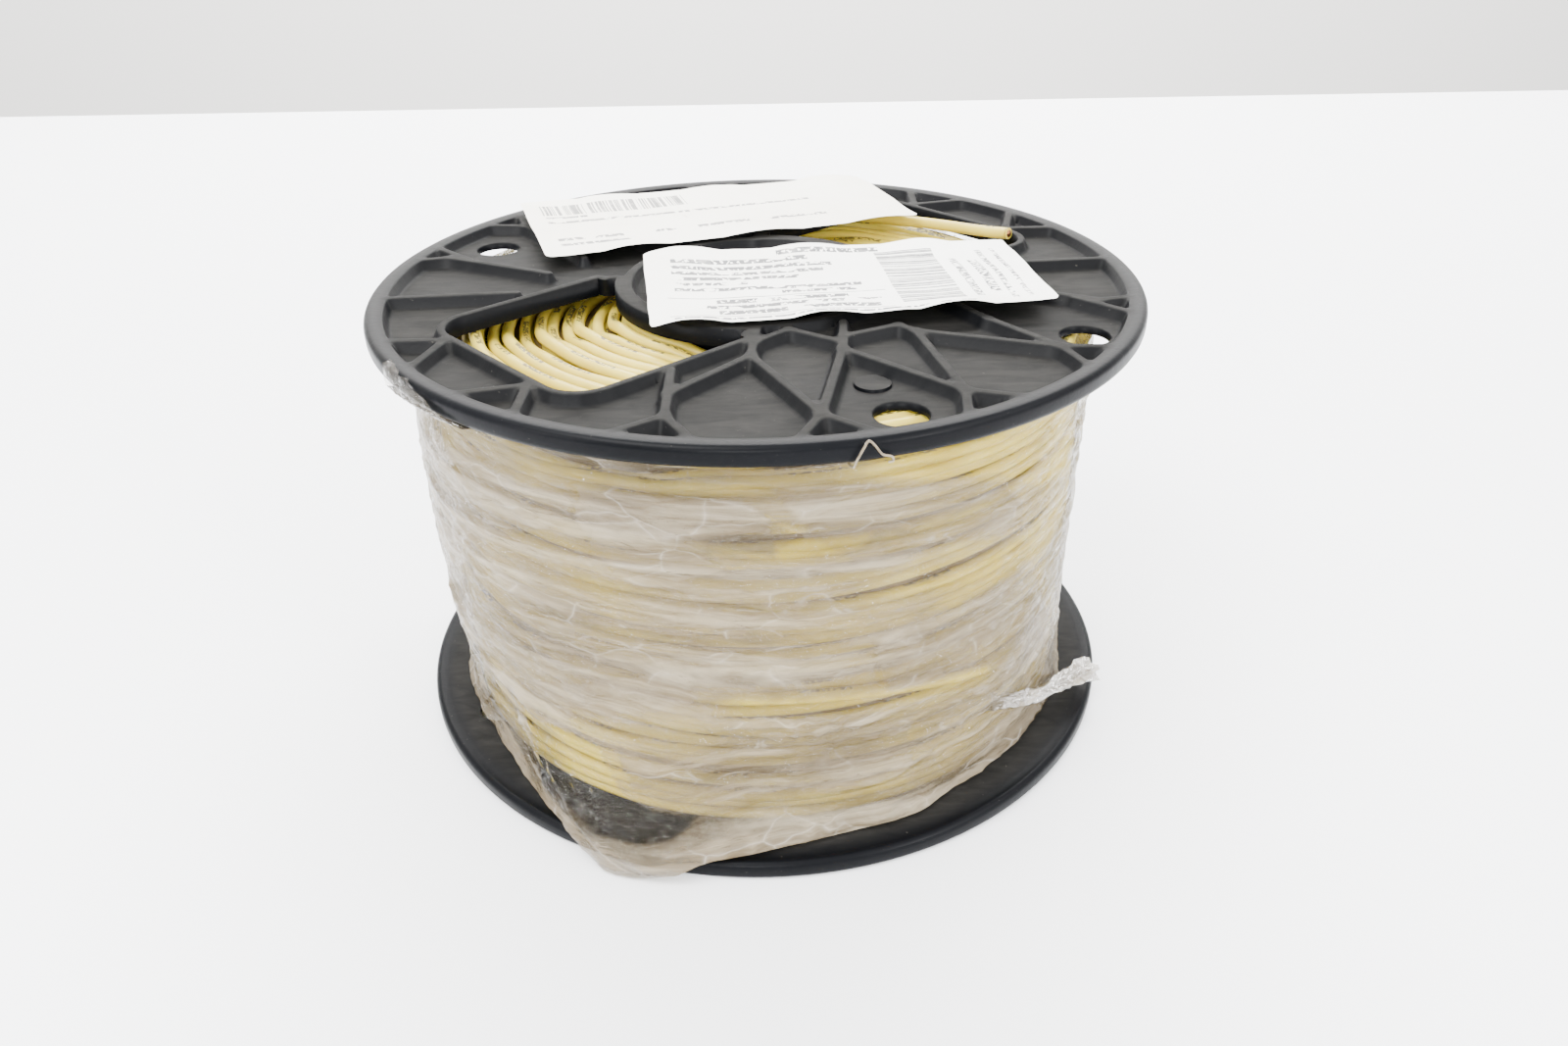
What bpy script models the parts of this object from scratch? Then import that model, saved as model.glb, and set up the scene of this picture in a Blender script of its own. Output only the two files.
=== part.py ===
# A moulded reel of electrical wire that stands on one flange, wrapped in stretch film.
# Metres, +Z up. The origin is the centre of the lower flange, on the floor.
# Angles are in degrees from +X, seen from above, and -Y is the front.

import math

import bmesh
import bpy
from mathutils import Matrix, Vector

for oldThing in list(bpy.data.objects):
    bpy.data.objects.remove(oldThing, do_unlink=True)

# The reel.
flangeRadius = 0.1016
reelHeight = 0.1192
flangeThickness = 0.0052
webThickness = 0.0020
rimWidth = 0.0046
rimRounding = 0.0014
arborRadius = 0.0145
hubWall = 0.0040
barrelRadius = 0.0335
barrelWall = 0.0030
spigotWall = 0.0026
spigotHeight = 0.0080
gap = 0.0003

# The ribs, windows and holes of a flange, as shares of its radius.
ribWidth = 0.022
lipWidth = 0.022
hubDiscShare = 0.375
windowAngle = 221.5
windowOuterShare = 0.790
windowHalfWidth = 0.295
windowCorner = 0.085
holeShare = 0.060
holeCentres = [(0.294, -0.799), (0.780, -0.386), (-0.753, 0.377)]
ribRuns = [
    [(0.000, -0.340), (-0.012, -0.450), (-0.018, -0.530), (0.125, -0.845), (0.070, -0.965)],
    [(-0.012, -0.450), (0.072, -0.375), (0.190, -0.458)],
    [(0.205, -0.330), (0.192, -0.500), (0.125, -0.845), (0.235, -0.940)],
    [(-0.018, -0.530), (-0.195, -0.730)],
    [(-0.195, -0.605), (-0.195, -0.840), (-0.130, -0.960)],
    [(-0.195, -0.840), (-0.305, -0.915)],
    [(0.192, -0.500), (0.435, -0.745), (0.575, -0.790)],
    [(0.200, -0.425), (0.335, -0.360), (0.372, -0.400), (0.435, -0.745), (0.420, -0.880)],
    [(0.372, -0.400), (0.690, -0.515), (0.730, -0.640)],
    [(0.690, -0.515), (0.555, -0.330), (0.480, -0.200)],
    [(0.800, -0.200), (0.920, -0.320)],
    [(0.560, -0.070), (0.860, -0.220), (0.945, -0.200)],
    [(0.620, 0.080), (0.945, 0.105)],
    [(-0.735, -0.400), (-0.775, -0.550)],
    [(-0.735, -0.400), (-0.880, -0.400)],
    [(-0.500, -0.670), (-0.660, -0.710)],
    [(-0.500, -0.670), (-0.505, -0.830)],
]

# The wire and its winding.
wireDiameter = 0.0033
windingShare = 0.865
windingRadius = windingShare * flangeRadius
windingLayers = 16
windingTurns = 32
grooveDepth = 0.0016
shoulderReach = 0.0086
shoulderHeight = 0.0165

# The stretch film round the winding.
filmThickness = 0.0006
filmSlack = 0.0012
filmBulge = 0.040
filmBulgeAngle = 190.0
hemHeight = 0.0012
hangFloor = 0.0008
tentAngle = 242.0
tentShare = 0.44
flareShare = 0.085
tailSides = 7

# The two paper labels on the upper flange.
labelThickness = 0.00025
labelCorner = 0.0022
productLabelSize = (0.1016, 0.0508)
productLabelCentre = (0.216, -0.084)
productLabelTurn = 6.0
stockLabelSize = (0.1140, 0.0508)
stockLabelCentre = (-0.118, 0.572)
stockLabelTurn = 17.4


def paint(name, colour, roughness, metallic=0.0, alpha=1.0):
    coat = bpy.data.materials.new(name)
    coat.use_nodes = True
    shader = coat.node_tree.nodes["Principled BSDF"]
    shader.inputs["Base Color"].default_value = (*colour, 1.0)
    shader.inputs["Roughness"].default_value = roughness
    shader.inputs["Metallic"].default_value = metallic
    shader.inputs["Alpha"].default_value = alpha
    coat.diffuse_color = (*colour, alpha)
    return coat


def finish(name, mesh, coat, smoothAngle=35.0):
    bmesh.ops.recalc_face_normals(mesh, faces=mesh.faces)
    data = bpy.data.meshes.new(name)
    mesh.to_mesh(data)
    mesh.free()
    data.materials.append(coat)
    data.shade_smooth()
    data.set_sharp_from_angle(angle=math.radians(smoothAngle))
    thing = bpy.data.objects.new(name, data)
    bpy.context.scene.collection.objects.link(thing)
    return thing


def turnProfile(outline, steps):
    """A closed outline of (radius, height) points, turned once round the Z axis."""
    mesh = bmesh.new()
    points = [mesh.verts.new((radius, 0.0, height)) for radius, height in outline]
    pairs = zip(points, points[1:] + points[:1])
    edges = [mesh.edges.new(pair) for pair in pairs]
    bmesh.ops.spin(
        mesh,
        geom=points + edges,
        cent=(0.0, 0.0, 0.0),
        axis=(0.0, 0.0, 1.0),
        angle=math.tau,
        steps=steps,
        use_merge=True,
        use_duplicate=False,
    )
    return mesh


def addPrism(mesh, outline, low, high):
    face = mesh.faces.new([mesh.verts.new((x, y, low)) for x, y in outline])
    raised = bmesh.ops.extrude_face_region(mesh, geom=[face])
    tops = [item for item in raised["geom"] if isinstance(item, bmesh.types.BMVert)]
    bmesh.ops.translate(mesh, verts=tops, vec=(0.0, 0.0, high - low))


def windowOutline(grow, turn):
    """A window of the flange: straight outer edge and sides, and a hub-side edge that
    follows the hub disc. The outline is widened all round by grow."""
    outer = windowOuterShare * flangeRadius + grow
    half = windowHalfWidth * flangeRadius + grow
    corner = windowCorner * flangeRadius + grow
    inner = hubDiscShare * flangeRadius - grow
    arcHalf = half - 0.4 * corner
    points = []
    for side in (-1.0, 1.0):
        steps = range(4) if side < 0 else range(3, -1, -1)
        for step in steps:
            bend = math.radians(30.0 * step)
            along = outer - corner + corner * math.sin(bend)
            across = side * (half - corner + corner * math.cos(bend))
            points.append((along, across))
    sideEnd = math.sqrt(inner * inner - arcHalf * arcHalf) + 0.4 * corner
    points.append((sideEnd, half))
    for step in range(5):
        across = arcHalf * (1.0 - step / 2.0)
        points.append((math.sqrt(inner * inner - across * across), across))
    points.append((sideEnd, -half))
    turned = Matrix.Rotation(math.radians(turn), 2)
    return [tuple(turned @ Vector(point)) for point in points]


def addRib(mesh, start, end, low, high):
    first = Vector(start) * flangeRadius
    last = Vector(end) * flangeRadius
    run = last - first
    size = (run.length + ribWidth * flangeRadius, ribWidth * flangeRadius, high - low)
    middle = (first + last) / 2.0
    place = (
        Matrix.Translation((middle.x, middle.y, (low + high) / 2.0))
        @ Matrix.Rotation(math.atan2(run.y, run.x), 4, "Z")
        @ Matrix.Diagonal((*size, 1.0))
    )
    bmesh.ops.create_cube(mesh, size=1.0, matrix=place)


def addPost(mesh, centre, radius, low, high, sides):
    place = Matrix.Translation((centre[0], centre[1], (low + high) / 2.0))
    bmesh.ops.create_cone(
        mesh,
        cap_ends=True,
        segments=sides,
        radius1=radius,
        radius2=radius,
        depth=high - low,
        matrix=place,
    )


def helper(name, mesh, coat):
    thing = finish(name, mesh, coat)
    thing.hide_render = True
    thing.display_type = "WIRE"
    return thing


def boolean(target, tool, operation, overlaps):
    step = target.modifiers.new(operation.lower(), "BOOLEAN")
    step.object = tool
    step.operation = operation
    step.solver = "EXACT"
    step.use_self = overlaps


def rimOutline():
    """Half the flange's section: wire side at height 0, ribbed side at flangeThickness."""
    spigotOuter = barrelRadius - barrelWall - gap
    spigotInner = spigotOuter - spigotWall
    ringOuter = hubDiscShare * flangeRadius - lipWidth * flangeRadius
    ringInner = ringOuter - ribWidth * flangeRadius
    rimInner = flangeRadius - rimWidth
    edge = flangeRadius - rimRounding
    return [
        (arborRadius, 0.0),
        (spigotInner, 0.0),
        (spigotInner, -spigotHeight),
        (spigotOuter, -spigotHeight),
        (spigotOuter, 0.0),
        (edge, 0.0),
        (flangeRadius, rimRounding),
        (flangeRadius, flangeThickness - rimRounding),
        (edge, flangeThickness),
        (rimInner, flangeThickness),
        (rimInner, webThickness),
        (ringOuter, webThickness),
        (ringOuter, flangeThickness),
        (ringInner, flangeThickness),
        (ringInner, webThickness),
        (arborRadius + hubWall, webThickness),
        (arborRadius + hubWall, flangeThickness),
        (arborRadius, flangeThickness),
    ]


def mouldFlange():
    """The flange's mesh: the turned disc, its ribs and lips, then its windows and holes."""
    blank = finish("flange_blank", turnProfile(rimOutline(), 60), reelCoat)
    ribLow = webThickness / 2.0
    ribHigh = flangeThickness - gap
    ribs = bmesh.new()
    for half in (1.0, -1.0):
        for run in ribRuns:
            for start, end in zip(run, run[1:]):
                first = (start[0] * half, start[1] * half)
                last = (end[0] * half, end[1] * half)
                addRib(ribs, first, last, ribLow, ribHigh)
    cuts = bmesh.new()
    through = flangeThickness
    for turn in (windowAngle, windowAngle - 180.0):
        lip = windowOutline(lipWidth * flangeRadius, turn)
        addPrism(ribs, lip, ribLow, ribHigh)
        addPrism(cuts, windowOutline(0.0, turn), -through, 2.0 * through)
    for x, y in holeCentres:
        centre = (x * flangeRadius, y * flangeRadius)
        addPost(cuts, centre, holeShare * flangeRadius, -through, 2.0 * through, 16)
    ribHelper = helper("flange_ribs", ribs, reelCoat)
    cutHelper = helper("flange_cuts", cuts, reelCoat)
    boolean(blank, ribHelper, "UNION", True)
    boolean(blank, cutHelper, "DIFFERENCE", False)
    bpy.context.view_layer.update()
    graph = bpy.context.evaluated_depsgraph_get()
    moulded = bpy.data.meshes.new_from_object(blank.evaluated_get(graph))
    for thing in (blank, ribHelper, cutHelper):
        bpy.data.objects.remove(thing, do_unlink=True)
    return moulded


def placeFlange(name, moulded, height, turn):
    thing = bpy.data.objects.new(name, moulded)
    bpy.context.scene.collection.objects.link(thing)
    thing.location = (0.0, 0.0, height)
    thing.rotation_euler = (turn, 0.0, 0.0)
    return thing


def windingOutline():
    """The winding's section: a groove between its turns on both ends and outside, and a
    sloping shoulder where its upper outer turns lie short of the flange."""
    bottom = flangeThickness + gap
    top = reelHeight - flangeThickness - gap
    inner = barrelRadius + gap
    pitch = (windingRadius - inner) / windingLayers
    rise = (top - bottom) / windingTurns
    lower = []
    upper = []
    for layer in range(windingLayers):
        crest = inner + (layer + 0.5) * pitch
        lower.append((crest, bottom))
        lower.append((crest + pitch / 2.0, bottom + grooveDepth))
        if crest < windingRadius - shoulderReach:
            upper.append((crest, top))
            upper.append((crest + pitch / 2.0, top - grooveDepth))
    lower.pop()
    outer = []
    for turn in range(windingTurns):
        crest = bottom + (turn + 0.5) * rise
        slope = max(0.0, crest + shoulderHeight - top) / shoulderHeight
        reach = windingRadius - shoulderReach * slope
        outer.append((reach, crest))
        outer.append((reach - grooveDepth, crest + rise / 2.0))
    outer.pop()
    core = [(inner, top - wireDiameter / 2.0), (inner, bottom + wireDiameter / 2.0)]
    return lower + outer + upper[::-1] + core


def along(table, angle):
    """Straight-line reading of a table of (angle, value) that closes at 360 degrees."""
    rows = [(table[-1][0] - 360.0, table[-1][1])] + table + [(table[0][0] + 360.0, table[0][1])]
    for (start, low), (end, high) in zip(rows, rows[1:]):
        if start <= angle <= end:
            return low + (high - low) * (angle - start) / (end - start)
    return table[0][1]


def bump(value, centre, flat, fade):
    """1 within flat of the centre, falling smoothly to 0 over the fade outside it."""
    away = max(0.0, abs(value - centre) - flat) / fade
    return 0.5 + 0.5 * math.cos(math.pi * min(away, 1.0))


def wave(share):
    """0 to 1 along a half wave, as share goes from 0 to 1."""
    return 0.5 - 0.5 * math.cos(math.pi * min(max(share, 0.0), 1.0))


def filmSection(angle):
    """Outer points of the film at one angle, from its top edge to its hem."""
    snug = windingRadius + filmSlack
    top = reelHeight - flangeThickness - gap - filmThickness
    flangeTop = flangeThickness + hemHeight
    span = top - flangeTop
    flare = max(0.0, along(hemTable, angle) * flangeRadius - snug)
    hang = along(hangTable, angle)
    loose = filmBulge * flangeRadius * bump(angle, filmBulgeAngle, 12.0, 50.0)
    swell = (wireDiameter + gap) * bump(angle, outerEndMiddle, outerEndSpread, 12.0)
    tent = bump(angle, tentAngle, 11.0, 16.0)
    turn = (angle - outerEndStart) / (outerEndStop - outerEndStart)
    drop = outerEndDrop * min(max(turn, 0.0), 1.0) ** 2 * (1.0 - wave((angle - 330.0) / 30.0))
    wire = (outerEndHeight - drop - flangeTop) / span
    section = []
    for share, beside in filmLevels:
        level = share + wire * beside
        opened = math.exp(-level / flareShare)
        straight = max(0.0, 1.0 - level / tentShare)
        reach = snug + loose * wave(2.0 * (1.0 - level) / 0.4) * wave(level / tentShare)
        reach += swell * bump(level, wire, 0.030, 0.060)
        reach += flare * (opened + (straight - opened) * tent)
        section.append((reach, flangeTop + span * level))
    section.append((snug + flare, flangeTop))
    section.append((snug + flare + filmThickness, flangeTop - hang * (flangeTop - hangFloor)))
    return section


# Rings of the film: a share of its height, and 1 where the ring runs beside the wire's
# outer end, at that share above or below it.
filmLevels = [
    (1.00, 0.0),
    (0.94, 0.0),
    (0.86, 0.0),
    (0.72, 0.0),
    (0.58, 0.0),
    (0.09, 1.0),
    (0.03, 1.0),
    (-0.03, 1.0),
    (-0.09, 1.0),
    (0.15, 0.0),
    (0.09, 0.0),
    (0.04, 0.0),
]
# Reach of the hem, as a share of the flange's radius.
hemTable = [
    (0.0, 0.880),
    (180.0, 0.885),
    (204.0, 0.882),
    (216.0, 0.884),
    (222.0, 0.895),
    (228.0, 0.918),
    (234.0, 0.953),
    (240.0, 0.988),
    (246.0, 1.016),
    (252.0, 1.030),
    (258.0, 1.012),
    (264.0, 0.984),
    (270.0, 0.958),
    (276.0, 0.935),
    (288.0, 0.920),
    (294.0, 0.918),
    (300.0, 0.886),
    (345.0, 0.882),
]
# The twisted tail of film at the right: places in shares of the flange's radius, then radii.
tailRoute = [
    ((0.661, -0.573, 0.2300), 0.0016),
    ((0.703, -0.609, 0.2280), 0.0022),
    ((0.770, -0.540, 0.1780), 0.0019),
    ((0.850, -0.440, 0.1420), 0.0020),
    ((0.915, -0.345, 0.1180), 0.0027),
]
# How far the hem hangs down past the rim of the lower flange, from 0 to 1.
hangTable = [(0.0, 0.02), (240.0, 0.02), (246.0, 0.65), (252.0, 1.0), (258.0, 0.02)]
filmSteps = 72

# The two ends of the wire.
outerEndStart = 267.0
outerEndStop = 301.0
outerEndDrop = 0.0080
outerEndHeight = 0.0465
outerEndMiddle = (outerEndStart + outerEndStop) / 2.0
outerEndSpread = (outerEndStop - outerEndStart) / 2.0 + 4.0
innerEndRoute = [
    (0.451, 0.584, 0.0),
    (0.498, 0.560, 0.06),
    (0.562, 0.503, 0.24),
    (0.624, 0.436, 0.48),
    (0.680, 0.368, 0.76),
    (0.728, 0.318, 1.0),
]


def sheetOfRings(rings):
    """An open sleeve through equal rings of points."""
    mesh = bmesh.new()
    rows = [[mesh.verts.new(point) for point in ring] for ring in rings]
    count = len(rows[0])
    for upper, lower in zip(rows, rows[1:]):
        for i in range(count):
            j = (i + 1) % count
            mesh.faces.new((upper[i], lower[i], lower[j], upper[j]))
    return mesh


def makeFilm():
    sections = []
    for step in range(filmSteps):
        angle = 360.0 * step / filmSteps
        turn = math.radians(angle)
        ring = [(r * math.cos(turn), r * math.sin(turn), z) for r, z in filmSection(angle)]
        sections.append(ring)
    rings = [list(ring) for ring in zip(*sections)]
    thing = finish("stretch_wrap", sheetOfRings(rings), filmCoat, 60.0)
    shell = thing.modifiers.new("thickness", "SOLIDIFY")
    shell.thickness = filmThickness
    shell.offset = -1.0
    shell.use_even_offset = True
    boolean(thing, helper("film_tail", tailMesh(), filmCoat), "UNION", False)
    return thing


def tailMesh():
    """A closed tapering tail through the route's places, square to the route at each one."""
    mesh = bmesh.new()
    places = [Vector(place) * flangeRadius for place, radius in tailRoute]
    rings = []
    for i, (place, radius) in enumerate(zip(places, (row[1] for row in tailRoute))):
        ahead = places[min(i + 1, len(places) - 1)]
        behind = places[max(i - 1, 0)]
        run = (ahead - behind).normalized()
        side = run.cross(Vector((0.0, 0.0, 1.0))).normalized()
        upward = side.cross(run)
        ring = []
        for step in range(tailSides):
            turn = math.tau * step / tailSides + 0.5 * i
            spot = place + radius * (math.cos(turn) * side + math.sin(turn) * upward)
            ring.append(mesh.verts.new(spot))
        rings.append(ring)
    for first, second in zip(rings, rings[1:]):
        for i in range(tailSides):
            j = (i + 1) % tailSides
            mesh.faces.new((first[i], first[j], second[j], second[i]))
    mesh.faces.new(rings[0])
    mesh.faces.new(rings[-1])
    return mesh


def makeLabel(name, size, centre, turn, coat):
    mesh = bmesh.new()
    halfX = size[0] / 2.0
    halfY = size[1] / 2.0
    addPrism(
        mesh,
        [(-halfX, -halfY), (halfX, -halfY), (halfX, halfY), (-halfX, halfY)],
        0.0,
        labelThickness,
    )
    upright = [edge for edge in mesh.edges if abs(edge.verts[0].co.z - edge.verts[1].co.z) > 0.0]
    bmesh.ops.bevel(
        mesh, geom=upright, offset=labelCorner, affect="EDGES", segments=3, profile=0.5
    )
    thing = finish(name, mesh, coat)
    thing.location = (centre[0] * flangeRadius, centre[1] * flangeRadius, reelHeight + gap)
    thing.rotation_euler = (0.0, 0.0, math.radians(turn))
    return thing


def makeWire(name, points):
    route = bpy.data.curves.new(name, "CURVE")
    route.dimensions = "3D"
    route.bevel_depth = wireDiameter / 2.0
    route.bevel_resolution = 2
    route.use_fill_caps = True
    line = route.splines.new("POLY")
    line.points.add(len(points) - 1)
    for place, point in zip(line.points, points):
        place.co = (*point, 1.0)
    line.use_smooth = True
    route.materials.append(wireCoat)
    thing = bpy.data.objects.new(name, route)
    bpy.context.scene.collection.objects.link(thing)
    return thing


def outerEndPoints():
    reach = windingRadius + gap + wireDiameter / 2.0
    points = []
    steps = 9
    for step in range(steps + 1):
        share = step / steps
        turn = math.radians(outerEndStart + (outerEndStop - outerEndStart) * share)
        height = outerEndHeight - outerEndDrop * share * share
        points.append((reach * math.cos(turn), reach * math.sin(turn), height))
    return points


def innerEndPoints():
    low = reelHeight - flangeThickness + gap + wireDiameter / 2.0
    high = reelHeight + gap
    points = []
    for x, y, share in innerEndRoute:
        points.append((x * flangeRadius, y * flangeRadius, low + (high - low) * share))
    return points


reelCoat = paint("black_moulded_plastic", (0.045, 0.045, 0.048), 0.55)
wireCoat = paint("yellow_nylon_jacket", (0.76, 0.56, 0.20), 0.32)
filmCoat = paint("clear_stretch_film", (0.62, 0.57, 0.47), 0.18, 0.0, 0.45)
labelCoat = paint("white_label_paper", (0.90, 0.90, 0.87), 0.60)
stockCoat = paint("cream_label_paper", (0.90, 0.88, 0.80), 0.60)

mouldedFlange = mouldFlange()
placeFlange("reel_upper_flange", mouldedFlange, reelHeight - flangeThickness, 0.0)
placeFlange("reel_lower_flange", mouldedFlange, flangeThickness, math.pi)

barrelLow = flangeThickness + gap
barrelHigh = reelHeight - flangeThickness - gap
barrelInner = barrelRadius - barrelWall
barrelOutline = [
    (barrelInner, barrelLow),
    (barrelRadius, barrelLow),
    (barrelRadius, barrelHigh),
    (barrelInner, barrelHigh),
]
finish("reel_barrel", turnProfile(barrelOutline, 40), reelCoat)
finish("wire_winding", turnProfile(windingOutline(), 32), wireCoat, 20.0)
makeWire("wire_outer_end", outerEndPoints())
makeWire("wire_inner_end", innerEndPoints())
makeFilm()
makeLabel("product_label", productLabelSize, productLabelCentre, productLabelTurn, labelCoat)
makeLabel("stock_label", stockLabelSize, stockLabelCentre, stockLabelTurn, stockCoat)
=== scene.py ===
import math
import random

import bmesh
import bpy
import numpy as np
from mathutils import Matrix, Vector, noise
from mathutils.geometry import delaunay_2d_cdt


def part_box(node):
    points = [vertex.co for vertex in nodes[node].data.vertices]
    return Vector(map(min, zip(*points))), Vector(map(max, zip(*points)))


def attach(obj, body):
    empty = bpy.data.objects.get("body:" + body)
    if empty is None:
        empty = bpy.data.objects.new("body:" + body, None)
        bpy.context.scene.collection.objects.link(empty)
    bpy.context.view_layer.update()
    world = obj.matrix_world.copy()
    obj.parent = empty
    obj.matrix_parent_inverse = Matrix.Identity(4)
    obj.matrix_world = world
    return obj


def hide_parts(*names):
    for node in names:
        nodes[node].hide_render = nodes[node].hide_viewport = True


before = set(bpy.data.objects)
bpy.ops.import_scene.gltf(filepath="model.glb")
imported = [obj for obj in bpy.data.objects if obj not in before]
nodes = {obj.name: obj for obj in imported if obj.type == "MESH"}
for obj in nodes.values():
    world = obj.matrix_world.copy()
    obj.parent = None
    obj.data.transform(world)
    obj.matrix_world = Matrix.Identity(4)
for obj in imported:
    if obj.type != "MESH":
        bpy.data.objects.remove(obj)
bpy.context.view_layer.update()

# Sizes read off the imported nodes, in metres.
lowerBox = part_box("reel_lower_flange")
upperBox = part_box("reel_upper_flange")
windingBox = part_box("wire_winding")
flangeRadius = lowerBox[1].x
reelTop = upperBox[1].z
windingRadius = windingBox[1].x
windingLow = windingBox[0].z
windingHigh = windingBox[1].z
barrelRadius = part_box("reel_barrel")[1].x


# Colours of the plastic, the jacket and the copper, dark and light.
looks = {
    "dustyPlastic": ("121211", "252422"),
    "barePlastic": ("040507", "08090C"),
    "dustSpecks": "B8B2A6",
    "jacket": ("B5A035", "C9B64C"),
    "jacketGrime": "9C7F3C",
    "jacketPrint": "2E2A22",
    "shadedJacket": ("4A3A18", "6E5A28"),
    "copper": ("4A2E1C", "C98A5C"),
}


# An sRGB hex colour as linear red, green and blue.
def linear(code):
    parts = [int(code[i:i + 2], 16) / 255.0 for i in (0, 2, 4)]
    return [c / 12.92 if c <= 0.04045 else ((c + 0.055) / 1.055) ** 2.4 for c in parts]


# A shader node with its settings, and inputs given as values or as sockets to link.
def addNode(tree, kind, settings=None, inputs=None):
    node = tree.nodes.new(kind)
    for name, value in (settings or {}).items():
        setattr(node, name, value)
    for name, value in (inputs or {}).items():
        if isinstance(value, bpy.types.NodeSocket):
            tree.links.new(value, node.inputs[name])
        else:
            node.inputs[name].default_value = value
    return node


# A colour ramp through stops of (place, hex colour or grey value).
def addRamp(tree, factor, stops):
    stops = list(stops)
    node = addNode(tree, "ShaderNodeValToRGB", None, {"Fac": factor})
    ramp = node.color_ramp
    while len(ramp.elements) < len(stops):
        ramp.elements.new(0.5)
    for element, (place, value) in zip(ramp.elements, stops):
        element.position = place
        rgb = linear(value) if isinstance(value, str) else [value] * 3
        element.color = (*rgb, 1.0)
    return node.outputs["Color"]


def addMath(tree, operation, *values):
    inputs = dict(enumerate(values))
    return addNode(tree, "ShaderNodeMath", {"operation": operation}, inputs).outputs[0]


# A mix of two colours, each a socket or a hex code.
def addMix(tree, factor, first, second):
    node = addNode(tree, "ShaderNodeMix", {"data_type": "RGBA"}, {0: factor})
    for place, value in ((6, first), (7, second)):
        if isinstance(value, str):
            node.inputs[place].default_value = (*linear(value), 1.0)
        else:
            tree.links.new(value, node.inputs[place])
    return node.outputs[2]


def addShaderMix(tree, factor, first, second):
    inputs = {0: factor, 1: first.outputs[0], 2: second.outputs[0]}
    return addNode(tree, "ShaderNodeMixShader", None, inputs)


# An empty node material with its output.
def newMaterial(name):
    material = bpy.data.materials.new(name)
    material.use_nodes = True
    tree = material.node_tree
    tree.nodes.clear()
    return material, tree, tree.nodes.new("ShaderNodeOutputMaterial")


def setSurface(tree, output, inputs):
    shader = addNode(tree, "ShaderNodeBsdfPrincipled", None, inputs)
    tree.links.new(shader.outputs[0], output.inputs["Surface"])


def objectPoint(tree):
    return addNode(tree, "ShaderNodeTexCoord").outputs["Object"]


def scaled(tree, vector, scale, turn=(0.0, 0.0, 0.0)):
    inputs = {"Vector": vector, "Scale": scale, "Rotation": turn}
    return addNode(tree, "ShaderNodeMapping", None, inputs).outputs["Vector"]


def noiseOn(tree, vector, scale, detail=3.0, roughness=0.5, distortion=0.0):
    inputs = {
        "Vector": vector,
        "Scale": scale,
        "Detail": detail,
        "Roughness": roughness,
        "Distortion": distortion,
    }
    return addNode(tree, "ShaderNodeTexNoise", None, inputs).outputs["Fac"]


def bumpOn(tree, height, distance, strength=1.0, normal=None):
    inputs = {"Height": height, "Distance": distance, "Strength": strength}
    if normal is not None:
        inputs["Normal"] = normal
    return addNode(tree, "ShaderNodeBump", None, inputs).outputs["Normal"]


# Moulded black polystyrene: dusty grey in the pockets, darker and smoother on the rim.
def makeReelPlastic():
    material, tree, output = newMaterial("dustyBlackPolystyrene")
    point = objectPoint(tree)
    cloud = noiseOn(tree, point, 26.0, 5.0, 0.6)
    fine = noiseOn(tree, point, 900.0, 3.0, 0.65)
    streak = noiseOn(tree, scaled(tree, point, (90.0, 320.0, 60.0)), 1.0, 4.0, 0.6, 0.8)
    parts = addNode(tree, "ShaderNodeSeparateXYZ", None, {"Vector": point})
    across = addMath(tree, "MULTIPLY", parts.outputs["X"], parts.outputs["X"])
    deep = addMath(tree, "MULTIPLY", parts.outputs["Y"], parts.outputs["Y"])
    radius = addMath(tree, "SQRT", addMath(tree, "ADD", across, deep))
    rim = addNode(
        tree,
        "ShaderNodeMapRange",
        {"interpolation_type": "SMOOTHSTEP"},
        {"Value": radius, "From Min": 0.0945, "From Max": 0.0995},
    ).outputs["Result"]
    geometry = addNode(tree, "ShaderNodeNewGeometry")
    facing = addNode(tree, "ShaderNodeSeparateXYZ", None, {"Vector": geometry.outputs["Normal"]})
    level = addMath(tree, "ABSOLUTE", facing.outputs["Z"])
    dust = addMath(tree, "MULTIPLY", addMath(tree, "POWER", level, 3.0), addMath(tree, "SUBTRACT", 1.0, rim))
    dust = addMath(tree, "MULTIPLY", dust, addMath(tree, "ADD", 0.45, addMath(tree, "MULTIPLY", cloud, 0.9)))
    dusty = addRamp(tree, streak, zip((0.25, 0.75), looks["dustyPlastic"]))
    bare = addRamp(tree, cloud, zip((0.3, 0.7), looks["barePlastic"]))
    colour = addMix(tree, dust, bare, dusty)
    specks = addRamp(tree, fine, [(0.70, 0.0), (0.78, 1.0)])
    colour = addMix(tree, addMath(tree, "MULTIPLY", specks, 0.10), colour, looks["dustSpecks"])
    rough = addMath(tree, "ADD", 0.36, addMath(tree, "MULTIPLY", dust, 0.34))
    bump = bumpOn(tree, fine, 0.00005, 0.5, bumpOn(tree, streak, 0.00010, 0.4))
    setSurface(tree, output, {
        "Base Color": colour,
        "Roughness": rough,
        "Normal": bump,
        "Specular IOR Level": 0.06,
    })
    return material


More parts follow.
